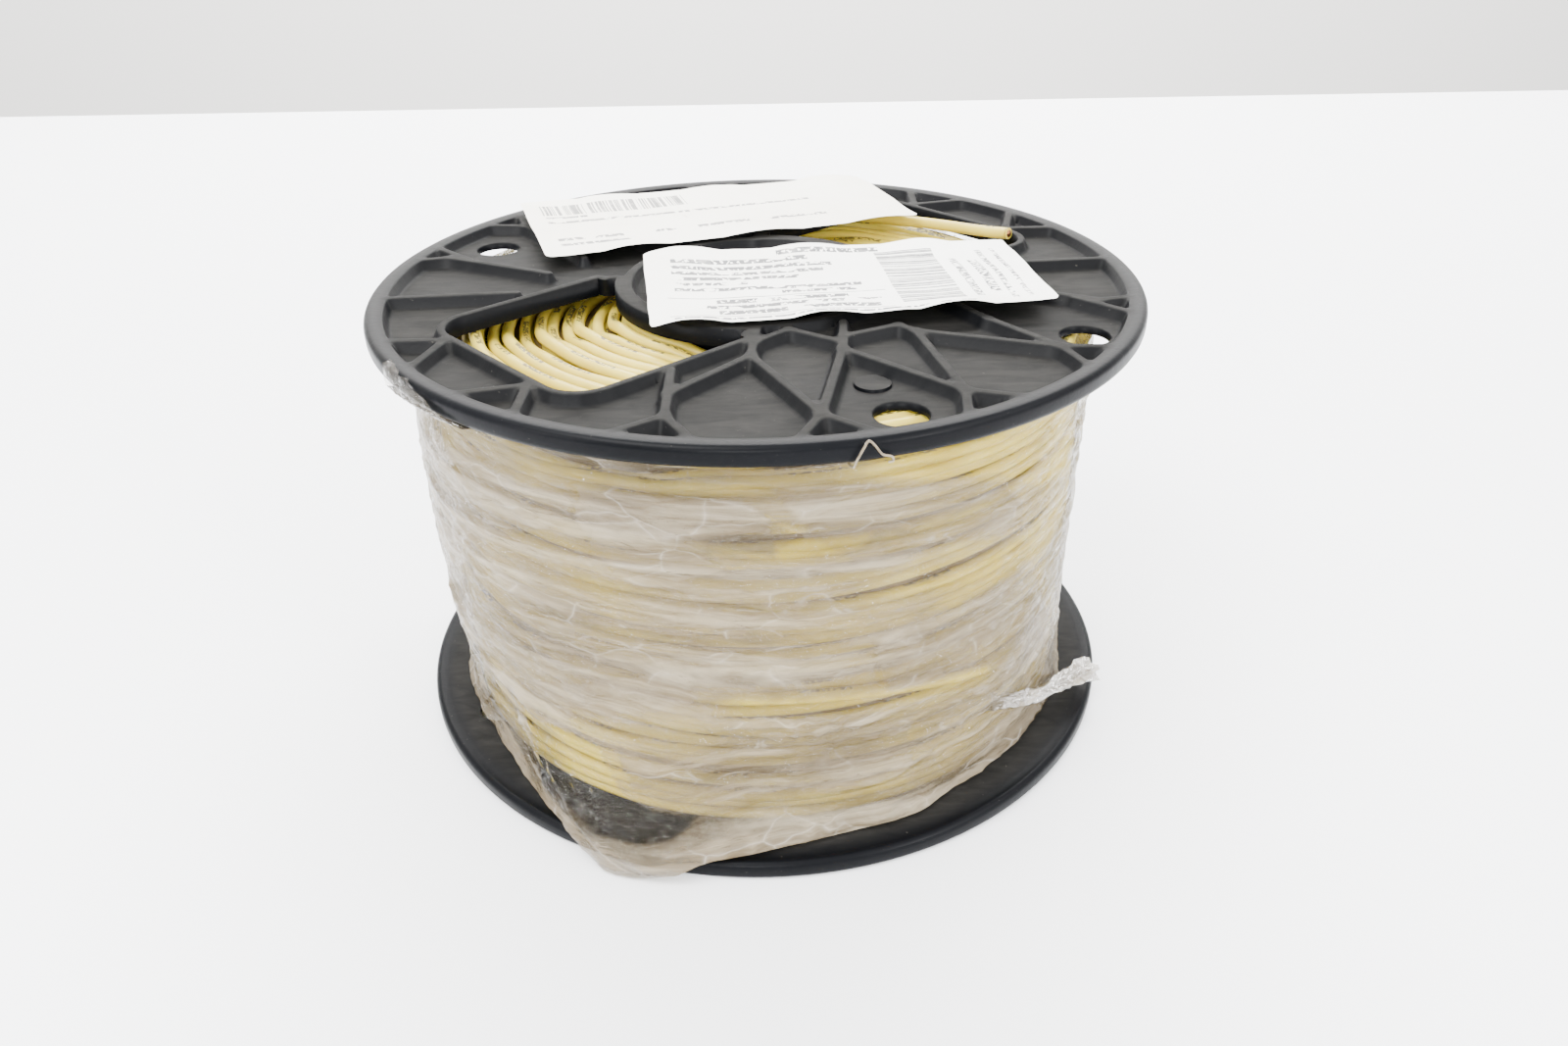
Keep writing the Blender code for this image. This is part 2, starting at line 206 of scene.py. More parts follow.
# Yellow PVC under a clear nylon jacket. U runs along the wire in metres, V round it.
def makeWireJacket():
    material, tree, output = newMaterial("yellowNylonJacket")
    uv = addNode(tree, "ShaderNodeUVMap", {"uv_map": "wireLength"}).outputs["UV"]
    parts = addNode(tree, "ShaderNodeSeparateXYZ", None, {"Vector": uv})
    point = objectPoint(tree)
    tone = noiseOn(tree, point, 45.0, 3.0, 0.6)
    grime = noiseOn(tree, point, 260.0, 4.0, 0.65)
    colour = addRamp(tree, tone, zip((0.3, 0.7), looks["jacket"]))
    colour = addMix(tree, addMath(tree, "MULTIPLY", grime, 0.10), colour, looks["jacketGrime"])
    marks = noiseOn(tree, scaled(tree, uv, (800.0, 14.0, 1.0)), 1.0, 1.0, 0.4)
    words = noiseOn(tree, scaled(tree, uv, (55.0, 0.0, 1.0)), 1.0, 0.0)
    row = addMath(tree, "COMPARE", parts.outputs["Y"], 0.28, 0.075)
    ink = addMath(tree, "MULTIPLY", addMath(tree, "GREATER_THAN", marks, 0.47), row)
    ink = addMath(tree, "MULTIPLY", ink, addMath(tree, "GREATER_THAN", words, 0.53))
    colour = addMix(tree, addMath(tree, "MULTIPLY", ink, 0.85), colour, looks["jacketPrint"])
    rough = addMath(tree, "ADD", 0.26, addMath(tree, "MULTIPLY", grime, 0.22))
    strands = addNode(
        tree,
        "ShaderNodeTexWave",
        {"wave_type": "BANDS", "bands_direction": "DIAGONAL"},
        {"Vector": scaled(tree, uv, (90.0, 2.0, 1.0)), "Scale": 1.0, "Distortion": 1.0},
    ).outputs["Fac"]
    bump = bumpOn(tree, strands, 0.00006, 0.35, bumpOn(tree, tone, 0.0004, 0.3))
    setSurface(tree, output, {
        "Base Color": colour,
        "Roughness": rough,
        "Normal": bump,
        "Specular IOR Level": 0.3,
        "Coat Weight": 0.12,
        "Coat Roughness": 0.12,
        "Subsurface Weight": 0.08,
        "Subsurface Scale": 0.001,
    })
    return material


# Painted shade: a dark jacket colour for the inside of the winding, seen only between its turns.
def makeWindingShade():
    material, tree, output = newMaterial("shadedWireJacket")
    tone = noiseOn(tree, objectPoint(tree), 120.0, 3.0)
    colour = addRamp(tree, tone, zip((0.3, 0.7), looks["shadedJacket"]))
    setSurface(tree, output, {"Base Color": colour, "Roughness": 0.6})
    return material


# Cut copper strands at the wire's end.
def makeCopper():
    material, tree, output = newMaterial("cutCopperStrands")
    point = objectPoint(tree)
    cells = addNode(
        tree, "ShaderNodeTexVoronoi", {"feature": "DISTANCE_TO_EDGE"}, {"Vector": point, "Scale": 1900.0}
    ).outputs["Distance"]
    colour = addRamp(tree, cells, zip((0.0, 0.25), looks["copper"]))
    bump = bumpOn(tree, cells, 0.0002, 0.8)
    setSurface(tree, output, {"Base Color": colour, "Roughness": 0.35, "Metallic": 1.0, "Normal": bump})
    return material


# A finished piece in the object's frame, riding on the root body.
def newPiece(name, mesh, replaced=(), smooth=True):
    if smooth:
        mesh.shade_smooth()
    thing = bpy.data.objects.new(name, mesh)
    bpy.context.scene.collection.objects.link(thing)
    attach(thing, "root")
    if replaced:
        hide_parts(*replaced)
    return thing


# One mesh of round tubes along paths of (points, start). The UV map is length along and share round.
def sweptTubes(name, paths, radius, sides, closed, cutSlot=0):
    endRings = ((0.95, 0.10), (0.74, 0.10), (0.66, 0.10), (0.62, 0.22))
    points = []
    faces = []
    uvs = []
    cutFaces = []
    for path, start in paths:
        line = np.array(path, float)
        count = len(line)
        ahead = np.roll(line, -1, 0)
        behind = np.roll(line, 1, 0)
        if not closed:
            ahead[-1] = line[-1] * 2.0 - line[-2]
            behind[0] = line[0] * 2.0 - line[1]
        tangent = ahead - behind
        tangent /= np.linalg.norm(tangent, axis=1)[:, None]
        side = np.cross(tangent, [0.0, 0.0, 1.0])
        side /= np.linalg.norm(side, axis=1)[:, None]
        upward = np.cross(side, tangent)
        steps = np.linalg.norm(np.diff(np.vstack([line, line[:1]]), axis=0), axis=1)
        length = start + np.concatenate([[0.0], np.cumsum(steps)])

        def addRing(i, share, lift):
            for j in range(sides):
                turn = math.tau * j / sides
                spot = line[i] + share * radius * (math.cos(turn) * side[i] + math.sin(turn) * upward[i])
                points.append(tuple(spot + lift * tangent[i]))
            return list(range(len(points) - sides, len(points)))

        rings = [addRing(i, 1.0, 0.0) for i in range(count)]
        for i in range(count if closed else count - 1):
            near = rings[i]
            far = rings[(i + 1) % count]
            for j in range(sides):
                m = (j + 1) % sides
                faces.append((near[j], near[m], far[m], far[j]))
                for step, share in ((0, j), (0, j + 1), (1, j + 1), (1, j)):
                    uvs.append((length[i + step], share / sides))
        if closed:
            continue
        for i, outward in ((0, -1.0), (count - 1, 1.0)):
            rims = [rings[i]] + [addRing(i, share, outward * rise * radius) for share, rise in endRings]
            ends = [
                (outer[j], outer[(j + 1) % sides], inner[(j + 1) % sides], inner[j])
                for outer, inner in zip(rims, rims[1:]) for j in range(sides)
            ]
            ends.append(tuple(rims[-1]))
            faces.extend(end if outward < 0 else end[::-1] for end in ends)
            uvs.extend(((length[i], 0.7),) * sum(len(end) for end in ends))
            cutFaces.extend(range(len(faces) - sides - 1, len(faces)))
    mesh = bpy.data.meshes.new(name)
    mesh.from_pydata(points, [], faces)
    for face in cutFaces:
        mesh.polygons[face].material_index = cutSlot
    layer = mesh.uv_layers.new(name="wireLength")
    layer.data.foreach_set("uv", np.array(uvs, np.float32).ravel())
    mesh.update()
    return mesh


# A closed profile of (radius, height) turned once round the axis.
def turnProfile(whole, profile):
    corners = [whole.verts.new((r, 0.0, z)) for r, z in profile]
    edges = [whole.edges.new((a, b)) for a, b in zip(corners, corners[1:] + corners[:1])]
    bmesh.ops.spin(
        whole,
        geom=corners + edges,
        cent=(0, 0, 0),
        axis=(0, 0, 1),
        angle=math.tau,
        steps=96,
        use_merge=True,
    )
    bmesh.ops.recalc_face_normals(whole, faces=whole.faces)


# Smooth noise, about -1 to 1, along a closed turn of angle place.
def wander(seed, place, size):
    spot = Vector((math.cos(place) * size, math.sin(place) * size, seed * 7.31))
    return noise.noise(spot) * 1.6


def smoothBump(value, centre, flat, fade):
    away = np.clip((np.abs(value - centre) - flat) / fade, 0.0, 1.0)
    return 0.5 + 0.5 * np.cos(math.pi * away)


reelPlastic = makeReelPlastic()
wireJacket = makeWireJacket()
windingShade = makeWindingShade()
copper = makeCopper()
nodes["reel_barrel"].data.materials.clear()
nodes["reel_barrel"].data.materials.append(reelPlastic)
print("materials made")

# The moulded flange. Places are shares of the flange's radius, lengths are metres.
# Levels: millimetres out from a rib's edge, and the share of its height there.
# Marks: place, radius and rise. Spigot: inner and outer radius and depth.
flange = {
    "thickness": 0.0052,
    "web": 0.0020,
    "ribHalf": 0.0009,
    "lip": 0.0019,
    "ribDrop": 0.0003,
    "rimWidth": 0.0046,
    "rimRounding": 0.0017,
    "edge": 0.0004,
    "hubRing": (0.0336, 0.0358),
    "hub": 0.0185,
    "arbor": 0.0145,
    "spigot": (0.0276, 0.0302, 0.0080),
    "fillet": 0.00055,
    "cell": 0.00062,
    "windowAngle": 221.5,
    "windowOuter": 0.790,
    "windowHalf": 0.295,
    "windowCorner": 0.085,
    "hubDisc": 0.375,
    "holeRadius": 0.060,
    "holes": [(0.294, -0.799), (0.780, -0.386), (-0.753, 0.377)],
    "levels": [(-0.35, 1.0), (-0.05, 0.985), (0.24, 0.88), (1.05, 0.20), (1.75, 0.03), (2.15, 0.0)],
    "marks": [(0.247, -0.652, 0.0420, 0.0007), (-0.590, -0.640, 0.0120, 0.0012)],
    "crest": 0.62,
    "ridge": (0.968, 0.960, 0.0004),
    "sharpFrom": 62.0,
    "rimSteps": 240,
    "ridgeSteps": 180,
    "arborSteps": 64,
    "holeSteps": 40,
    "markSteps": 36,
    "windowSteps": 8,
}
# Half of the ribs, each a run of places. The other half is the same turned by half a turn.
ribRuns = [
    [(0.000, -0.340), (-0.012, -0.450), (-0.018, -0.530), (0.125, -0.845), (0.070, -0.965)],
    [(-0.012, -0.450), (0.072, -0.375), (0.190, -0.458)],
    [(0.205, -0.330), (0.192, -0.500), (0.125, -0.845), (0.235, -0.940)],
    [(-0.018, -0.530), (-0.195, -0.730)],
    [(-0.195, -0.605), (-0.195, -0.840), (-0.130, -0.960)],
    [(-0.195, -0.840), (-0.305, -0.915)],
    [(0.192, -0.500), (0.435, -0.745), (0.575, -0.790)],
    [(0.200, -0.425), (0.335, -0.360), (0.372, -0.400), (0.435, -0.745), (0.420, -0.880)],
    [(0.372, -0.400), (0.690, -0.515), (0.730, -0.640)],
    [(0.690, -0.515), (0.840, -0.525)],
    [(0.690, -0.515), (0.555, -0.330), (0.480, -0.200)],
    [(0.800, -0.200), (0.920, -0.320)],
    [(0.560, -0.070), (0.860, -0.220), (0.945, -0.200)],
    [(0.620, 0.080), (0.945, 0.105)],
    [(-0.735, -0.400), (-0.775, -0.550)],
    [(-0.735, -0.400), (-0.880, -0.400)],
    [(-0.500, -0.670), (-0.660, -0.710)],
    [(-0.500, -0.670), (-0.505, -0.830)],
]


# One window's outline, anticlockwise, with fine steps to each corner.
def windowLoop(grow, turn, fine):
    f = flange
    outer = f["windowOuter"] * flangeRadius + grow
    half = f["windowHalf"] * flangeRadius + grow
    corner = f["windowCorner"] * flangeRadius + grow
    inner = f["hubDisc"] * flangeRadius - grow
    arcHalf = half - 0.4 * corner
    points = []
    for side in (-1.0, 1.0):
        for step in range(fine + 1):
            bend = math.pi / 2 * (step if side < 0 else fine - step) / fine
            points.append((
                outer - corner + corner * math.sin(bend),
                side * (half - corner + corner * math.cos(bend)),
            ))
    sideEnd = math.sqrt(inner * inner - arcHalf * arcHalf) + 0.4 * corner
    elbow = (math.sqrt(inner * inner - arcHalf * arcHalf), arcHalf)
    for step in range(4):
        share = step / 4
        points.append((
            sideEnd + (elbow[0] - sideEnd) * share * share,
            half + (elbow[1] - half) * math.sqrt(share),
        ))
    for step in range(3 * fine + 1):
        across = arcHalf * (1.0 - 2.0 * step / (3 * fine))
        points.append((math.sqrt(inner * inner - across * across), across))
    for step in range(3, -1, -1):
        share = step / 4
        points.append((
            sideEnd + (elbow[0] - sideEnd) * share * share,
            -half - (elbow[1] - half) * math.sqrt(share),
        ))
    cos = math.cos(math.radians(turn))
    sin = math.sin(math.radians(turn))
    return np.array([(x * cos - y * sin, x * sin + y * cos) for x, y in points])


def circleLoop(centre, radius, count):
    turn = np.arange(count) * math.tau / count
    return np.stack([centre[0] + radius * np.cos(turn), centre[1] + radius * np.sin(turn)], -1)


# Distance of every grid point from one straight rib.
def toSegment(x, y, start, end):
    run = np.subtract(end, start)
    share = np.clip(((x - start[0]) * run[0] + (y - start[1]) * run[1]) / (run @ run), 0.0, 1.0)
    return np.hypot(x - start[0] - share * run[0], y - start[1] - share * run[1])


def toLine(x, y, line):
    away = np.full(x.shape, 1.0)
    for first, last in zip(line, line[1:]):
        away = np.minimum(away, toSegment(x, y, first, last))
    return away


def insideLoop(x, y, loop):
    inside = np.zeros(x.shape, bool)
    for (x0, y0), (x1, y1) in zip(loop, np.roll(loop, -1, 0)):
        if y0 == y1:
            continue
        crosses = (y0 > y) != (y1 > y)
        inside ^= crosses & (x < x0 + (y - y0) * (x1 - x0) / (y1 - y0))
    return inside


# Signed distance to the raised ribs, lips, rings and rim, rounded where they meet.
def landField(x, y):
    f = flange
    soft = f["fillet"]
    total = np.zeros(x.shape)
    for half in (1.0, -1.0):
        for run in ribRuns:
            for start, end in zip(run, run[1:]):
                first = np.multiply(start, half * flangeRadius)
                last = np.multiply(end, half * flangeRadius)
                total += np.exp(-(toSegment(x, y, first, last) - f["ribHalf"]) / soft)
    for turn in (f["windowAngle"], f["windowAngle"] - 180.0):
        loop = windowLoop(0.0, turn, 5)
        away = toLine(x, y, np.vstack([loop, loop[:1]]))
        away = np.where(insideLoop(x, y, loop), -away, away)
        total += np.exp(-(away - f["lip"]) / soft)
    radius = np.hypot(x, y)
    ringLow, ringHigh = f["hubRing"]
    ring = np.abs(radius - (ringLow + ringHigh) / 2.0) - (ringHigh - ringLow) / 2.0
    total += np.exp(-ring / soft)
    total += np.exp(-(radius - f["hub"]) / soft)
    total += np.exp(-(flangeRadius - f["rimWidth"] - radius) / soft)
    return -soft * np.log(np.maximum(total, 1e-200))


# Points and point pairs of one level line of a grid of values, cell by cell.
def contourSegments(field, origin, cell, level):
    above = field > level
    number = {}
    points = []

    def crossing(i, j, m, n):
        key = (i, j, m, n)
        if key not in number:
            first = field[i, j]
            share = (level - first) / (field[m, n] - first)
            number[key] = len(points)
            points.append((origin + cell * (j + (n - j) * share), origin + cell * (i + (m - i) * share)))
        return number[key]

    pairs = []
    mixed = above[:-1, :-1].astype(int) + above[1:, :-1] + above[:-1, 1:] + above[1:, 1:]
    for i, j in np.argwhere((mixed > 0) & (mixed < 4)):
        ends = []
        if above[i, j] != above[i, j + 1]:
            ends.append(crossing(i, j, i, j + 1))
        if above[i, j + 1] != above[i + 1, j + 1]:
            ends.append(crossing(i, j + 1, i + 1, j + 1))
        if above[i + 1, j] != above[i + 1, j + 1]:
            ends.append(crossing(i + 1, j, i + 1, j + 1))
        if above[i, j] != above[i + 1, j]:
            ends.append(crossing(i, j, i + 1, j))
        for k in range(0, len(ends) - 1, 2):
            pairs.append((ends[k], ends[k + 1]))
    return points, pairs


# Triangles of the plane through points, with pairs kept as edges and holes left out.
def flatSheet(points, pairs, holes):
    made = delaunay_2d_cdt([Vector(p) for p in points], pairs, [], 0, 1e-7)
    spots = np.array([tuple(v) for v in made[0]])
    triangles = np.array([f for f in made[2] if len(f) == 3])
    middle = spots[triangles].mean(1)
    keep = np.ones(len(triangles), bool)
    for loop in holes:
        keep &= ~insideLoop(middle[:, 0], middle[:, 1], loop)
    return spots, triangles[keep], made[3]


# The openings' outlines, all made wider by grow.
def openingLoops(grow):
    f = flange
    loops = [windowLoop(grow, f["windowAngle"] - turn, f["windowSteps"]) for turn in (0.0, 180.0)]
    for x, y in f["holes"]:
        centre = (x * flangeRadius, y * flangeRadius)
        loops.append(circleLoop(centre, f["holeRadius"] * flangeRadius + grow, f["holeSteps"]))
    loops.append(circleLoop((0.0, 0.0), f["arbor"] + grow, f["arborSteps"]))
    return loops


# Adds a closed loop to points and its edges to pairs, and returns the numbers of its points.
def addLoop(points, pairs, loop):
    base = len(points)
    points.extend(map(tuple, loop))
    pairs.extend((base + i, base + (i + 1) % len(loop)) for i in range(len(loop)))
    return list(range(base, base + len(loop)))


# The ribbed top: its vertices and faces, and the vertices of its outline and openings.
def ribbedTop(outline, openings):
    f = flange
    thick = f["thickness"]
    web = f["web"]
    cell = f["cell"]
    edge = f["edge"]
    count = int(2.0 * flangeRadius / cell) + 3
    origin = -cell * (count - 1) / 2.0
    line = origin + cell * np.arange(count)
    field = landField(*np.meshgrid(line, line))
    ribRise = thick - f["ribDrop"] - web
    steps, shares = zip(*f["levels"])
    points = []
    heights = []
    pairs = []

    def heightAt(x, y):
        column = (x - origin) / cell
        row = (y - origin) / cell
        j = int(column)
        i = int(row)
        near = field[i, j] * (1 - column + j) + field[i, j + 1] * (column - j)
        far = field[i + 1, j] * (1 - column + j) + field[i + 1, j + 1] * (column - j)
        value = near * (1 - row + i) + far * (row - i)
        return web + ribRise * np.interp(value * 1000.0, steps, shares)

    for level, share in f["levels"]:
        spots, joins = contourSegments(field, origin, cell, level * 0.001)
        base = len(points)
        points.extend(spots)
        heights.extend([web + ribRise * share] * len(spots))
        pairs.extend((base + a, base + b) for a, b in joins)
    for x, y, radius, rise in f["marks"]:
        for grow, lift in ((0.00025, 0.0), (0.0001, 0.0), (-0.0001, rise), (-0.0004, rise * 1.05)):
            centre = (x * flangeRadius, y * flangeRadius)
            addLoop(points, pairs, circleLoop(centre, radius * flangeRadius + grow, f["markSteps"]))
            heights.extend([web + lift] * f["markSteps"])
    loops = [addLoop(points, pairs, outline)]
    heights.extend([thick - 0.00004] * len(outline))
    for drop, rims in ((edge * 0.7, openings), (0.0, openingLoops(edge))):
        for rim in rims:
            loops.append(addLoop(points, pairs, rim))
            heights.extend([heightAt(x, y) - drop for x, y in rim])
    crest = circleLoop((0.0, 0.0), flangeRadius - f["rimWidth"] * f["crest"], f["rimSteps"])
    addLoop(points, pairs, crest)
    heights.extend([thick] * len(crest))
    spots, triangles, sources = flatSheet(points, pairs, openings)
    vertices = []
    place = {}
    for i, source in enumerate(sources):
        x, y = spots[i]
        vertices.append((x, y, heights[source[-1]] if source else heightAt(x, y)))
        for s in source:
            place[s] = i
    faces = [tuple(int(v) for v in t) for t in triangles]
    return vertices, faces, [[place[v] for v in loop] for loop in loops[:1 + len(openings)]]


# Adds the flat underside with its low ridge, and returns the vertices of its outline and openings.
def addUnderside(vertices, faces, outline, openings):
    f = flange
    ridgeOuter, ridgeInner, ridgeRise = f["ridge"]
    points = []
    pairs = []
    loops = [addLoop(points, pairs, loop) for loop in [outline] + openings]
    ridge = addLoop(points, pairs, circleLoop((0.0, 0.0), flangeRadius * ridgeOuter, f["ridgeSteps"]))
    addLoop(points, pairs, circleLoop((0.0, 0.0), flangeRadius * ridgeInner, f["ridgeSteps"]))
    spots, triangles, sources = flatSheet(points, pairs, openings)
    base = len(vertices)
    place = {}
    for i, source in enumerate(sources):
        for s in source:
            place[s] = base + i
        onRidge = source and ridge[0] <= source[0] <= ridge[-1]
        vertices.append((spots[i, 0], spots[i, 1], ridgeRise if onRidge else 0.0))
    faces.extend((base + int(a), base + int(c), base + int(b)) for a, b, c in triangles)
    return [[place[v] for v in loop] for loop in loops]


# Rings of the rounded rim between its upper and lower outline.
def addRim(vertices, upper):
    thick = flange["thickness"]
    rounding = flange["rimRounding"]
    bends = [math.radians(angle) for angle in (18.0, 36.0, 54.0, 72.0, 90.0)]
    steps = [(math.sin(bend), thick - rounding * (1.0 - math.cos(bend))) for bend in bends]
    steps += [(math.sin(bend), rounding * (1.0 - math.cos(bend))) for bend in bends[::-1]]
    rings = []
    for share, height in steps:
        reach = (flangeRadius - rounding + rounding * share) / (flangeRadius - rounding)
        start = len(vertices)
        for v in upper:
            vertices.append((vertices[v][0] * reach, vertices[v][1] * reach, height))
        rings.append(list(range(start, start + len(upper))))
    return rings


def makeFlangeMesh():
    f = flange
    outline = circleLoop((0.0, 0.0), flangeRadius - f["rimRounding"], f["rimSteps"])
    openings = openingLoops(0.0)
    vertices, faces, upperLoops = ribbedTop(outline, openings)
    lowerLoops = addUnderside(vertices, faces, outline, openings)
    for order, (upper, lower) in enumerate(zip(upperLoops, lowerLoops)):
        rings = [upper] + (addRim(vertices, upper) if order == 0 else []) + [lower]
        for high, low in zip(rings, rings[1:]):
            for i in range(len(high)):
                k = (i + 1) % len(high)
                quad = (high[i], low[i], low[k], high[k])
                faces.append(quad if order == 0 else quad[::-1])
    mesh = bpy.data.meshes.new("mouldedFlange")
    mesh.from_pydata(vertices, [], faces)
    mesh.update()
    whole = bmesh.new()
    whole.from_mesh(mesh)
    inner, outer, drop = f["spigot"]
    chamfer = 0.0006
    profile = [
        (inner, 0.0), (inner, chamfer - drop), (inner + chamfer, -drop),
        (outer - chamfer, -drop), (outer, chamfer - drop), (outer, 0.0),
    ]
    turnProfile(whole, [(r, z + 0.0001) for r, z in profile])
    whole.to_mesh(mesh)
    whole.free()
    mesh.shade_smooth()
    mesh.set_sharp_from_angle(angle=math.radians(f["sharpFrom"]))
    return mesh


def makeFlanges():
    mesh = makeFlangeMesh()
    mesh.materials.append(reelPlastic)
    lower = mesh.copy()
    lower.name = "mouldedFlangeLower"
    mesh.transform(Matrix.Translation((0.0, 0.0, reelTop - flange["thickness"])))
    lower.transform(Matrix.Translation((0.0, 0.0, flange["thickness"])) @ Matrix.Rotation(math.pi, 4, "X"))
    newPiece("upperFlangeMoulding", mesh, ("reel_upper_flange",), False)
    newPiece("lowerFlangeMoulding", lower, ("reel_lower_flange",), False)
    print("flange faces", len(mesh.polygons))


makeFlanges()
print("flanges made")

# The turns of wire that show at the two ends and round the outside of the winding.
# Away from the windows the end turns sink by the hump, and the shoulder is the top edge's slope.
winding = {
    "wireRadius": 0.00165,
    "turnsAcross": 14,
    "turnsUp": 32,
    "rows": 2,
    "sides": 10,
    "steps": 132,
    "sideSteps": 168,
    "wanderAcross": 0.0004,
    "wanderUp": 0.0008,
    "windowAngles": (221.5, 41.5),
    "hump": 0.0034,
    "shoulder": (0.0086, 0.0165),
    "looseReach": 0.0838,
    "seed": 11,
}


# Reach and height of the slope at the winding's top outer edge, deeper at the left back.
def shoulderAt(angle):
    degrees = math.degrees(angle) % 360.0
    reach, height = winding["shoulder"]
    more = float(smoothBump(degrees, 150.0, 40.0, 50.0)) - float(smoothBump(degrees, 300.0, 35.0, 35.0))
    return reach + 0.0030 * more, height + 0.0030 * more


# Rows of turns at one end of the winding: level is its face, inward the way into it.
def endTurns(level, inward, seed):
    w = winding
    rng = random.Random(seed)
    inner = barrelRadius + 0.0003
    pitch = (windingRadius - inner) / w["turnsAcross"]
    paths = []
    for row in range(w["rows"]):
        for turn in range(w["turnsAcross"] - row):
            middle = inner + (turn + 0.5 + 0.5 * row) * pitch + rng.uniform(-0.12, 0.12) * pitch
            drop = w["wireRadius"] * (1.0 + 1.9 * row) + rng.uniform(0.0, 0.0007)
            lean = rng.uniform(-0.3, 0.3) * pitch
            phase = rng.uniform(0.0, math.tau)
            swell = [rng.uniform(-6.0, 6.0) for window in w["windowAngles"]]
            path = []
            for i in range(w["steps"]):
                angle = math.tau * i / w["steps"]
                degrees = math.degrees(angle)
                reach = middle + lean * math.sin(angle - phase)
                reach += w["wanderAcross"] * wander(seed + turn + 40 * row, angle, 1.4)
                reach = min(max(reach, inner + w["wireRadius"]), windingRadius - w["wireRadius"])
                rise = drop + 0.5 * w["wanderUp"] * (1.0 + wander(seed + turn + 90, angle, 1.1))
                raised = max(
                    float(smoothBump(degrees, centre + 4.0 + shift, 12.0, 26.0))
                    for centre, shift in zip(w["windowAngles"], swell)
                )
                if inward < 0.0:
                    raised = max(raised, float(smoothBump(degrees, 300.0, 32.0, 30.0)))
                rise += w["hump"] * (1.0 - raised)
                if inward < 0.0:
                    slopeReach, slopeHeight = shoulderAt(angle)
                    rise += slopeHeight * max(0.0, reach + slopeReach - windingRadius) / slopeReach
                path.append((reach * math.cos(angle), reach * math.sin(angle), level + inward * rise))
            paths.append((path, rng.uniform(0.0, 50.0)))
    return paths


# A turn on top of the others that comes up to the flange at the front hole.
def looseTurn():
    w = winding
    path = []
    for i in range(w["steps"]):
        angle = math.tau * i / w["steps"]
        near = float(smoothBump(math.degrees(angle), 300.0, 26.0, 60.0))
        reach = w["looseReach"] * (0.972 + 0.028 * near)
        rise = w["wireRadius"] + 0.0001 + 0.0056 * (1.0 - near)
        path.append((reach * math.cos(angle), reach * math.sin(angle), windingHigh - rise))
    return path, 3.0


def sideTurns():
    w = winding
    rng = random.Random(w["seed"])
    low = windingLow + w["wireRadius"]
    high = windingHigh - w["wireRadius"]
    paths = []
    for turn in range(w["turnsUp"]):
        height = low + (high - low) * turn / (w["turnsUp"] - 1)
        lean = rng.uniform(-1.2, 1.2) * 0.0014
        phase = rng.uniform(0.0, math.tau)
        inset = w["wireRadius"] + rng.uniform(0.0, 0.0009)
        path = []
        for i in range(w["sideSteps"]):
            angle = math.tau * i / w["sideSteps"]
            rise = height + lean * math.sin(angle - phase) + 0.0010 * wander(turn + 200, angle, 1.3)
            rise = min(max(rise, low), high)
            slopeReach, slopeHeight = shoulderAt(angle)
            reach = windingRadius - inset
            reach -= slopeReach * max(0.0, rise + slopeHeight - windingHigh) / slopeHeight
            path.append((reach * math.cos(angle), reach * math.sin(angle), rise))
        paths.append((path, rng.uniform(0.0, 50.0)))
    return paths


def makeWinding():
    w = winding
    sets = (
        ("windingTopTurns", endTurns(windingHigh, -1.0, 31) + [looseTurn()]),
        ("windingBottomTurns", endTurns(windingLow, 1.0, 77)),
        ("windingSideTurns", sideTurns()),
    )
    for name, paths in sets:
        mesh = sweptTubes(name, paths, w["wireRadius"], w["sides"], True)
        mesh.materials.append(wireJacket)
        newPiece(name, mesh)
    # The core carries the painted shade colour where the inner turns lie in shade.
    core = bmesh.new()
    inner = barrelRadius + 0.0004
    outer = windingRadius - w["wireRadius"] * 1.5
    low = windingLow + w["hump"] + w["wireRadius"] * 2.0
    high = windingHigh - w["hump"] - w["wireRadius"] * 2.4
    section = (
        (inner, low), (outer, low), (outer, windingHigh - 0.0215), (outer - 0.0120, high), (inner, high)
    )
    turnProfile(core, section)
    mesh = bpy.data.meshes.new("windingCore")
    core.to_mesh(mesh)
    core.free()
    mesh.materials.append(windingShade)
    newPiece("windingCore", mesh, ("wire_winding",), False)


makeWinding()
print("winding made")

# The two ends of the wire, at the same places as the CAD ones, run on into the winding.
wireEnds = {
    "sides": 20,
    "outerReach": 0.08983,
    "outerAngles": (250.0, 308.0),
    "outerHeight": 0.0465,
    "outerDrop": 0.0115,
    "innerRoute": [
        (0.300, 0.655, 0.11560),
        (0.380, 0.625, 0.11575),
        (0.451, 0.584, 0.11595),
        (0.498, 0.560, 0.11616),
        (0.562, 0.503, 0.11680),
        (0.624, 0.436, 0.11765),
        (0.680, 0.368, 0.11865),
        (0.728, 0.318, 0.11950),
    ],
}


# A smooth curve through points, read off at equal steps of its knots.
def smoothRoute(points, steps):
    knots = np.array(points)
    padded = np.vstack([2 * knots[0] - knots[1], knots, 2 * knots[-1] - knots[-2]])
    line = []
    for i in range(len(knots) - 1):
        a, b, c, d = padded[i:i + 4]
        for share in np.linspace(0.0, 1.0, steps, endpoint=i == len(knots) - 2):
            line.append(0.5 * (
                2 * b + (c - a) * share + (2 * a - 5 * b + 4 * c - d) * share ** 2
                + (3 * b - a - 3 * c + d) * share ** 3
            ))
    return np.array(line)


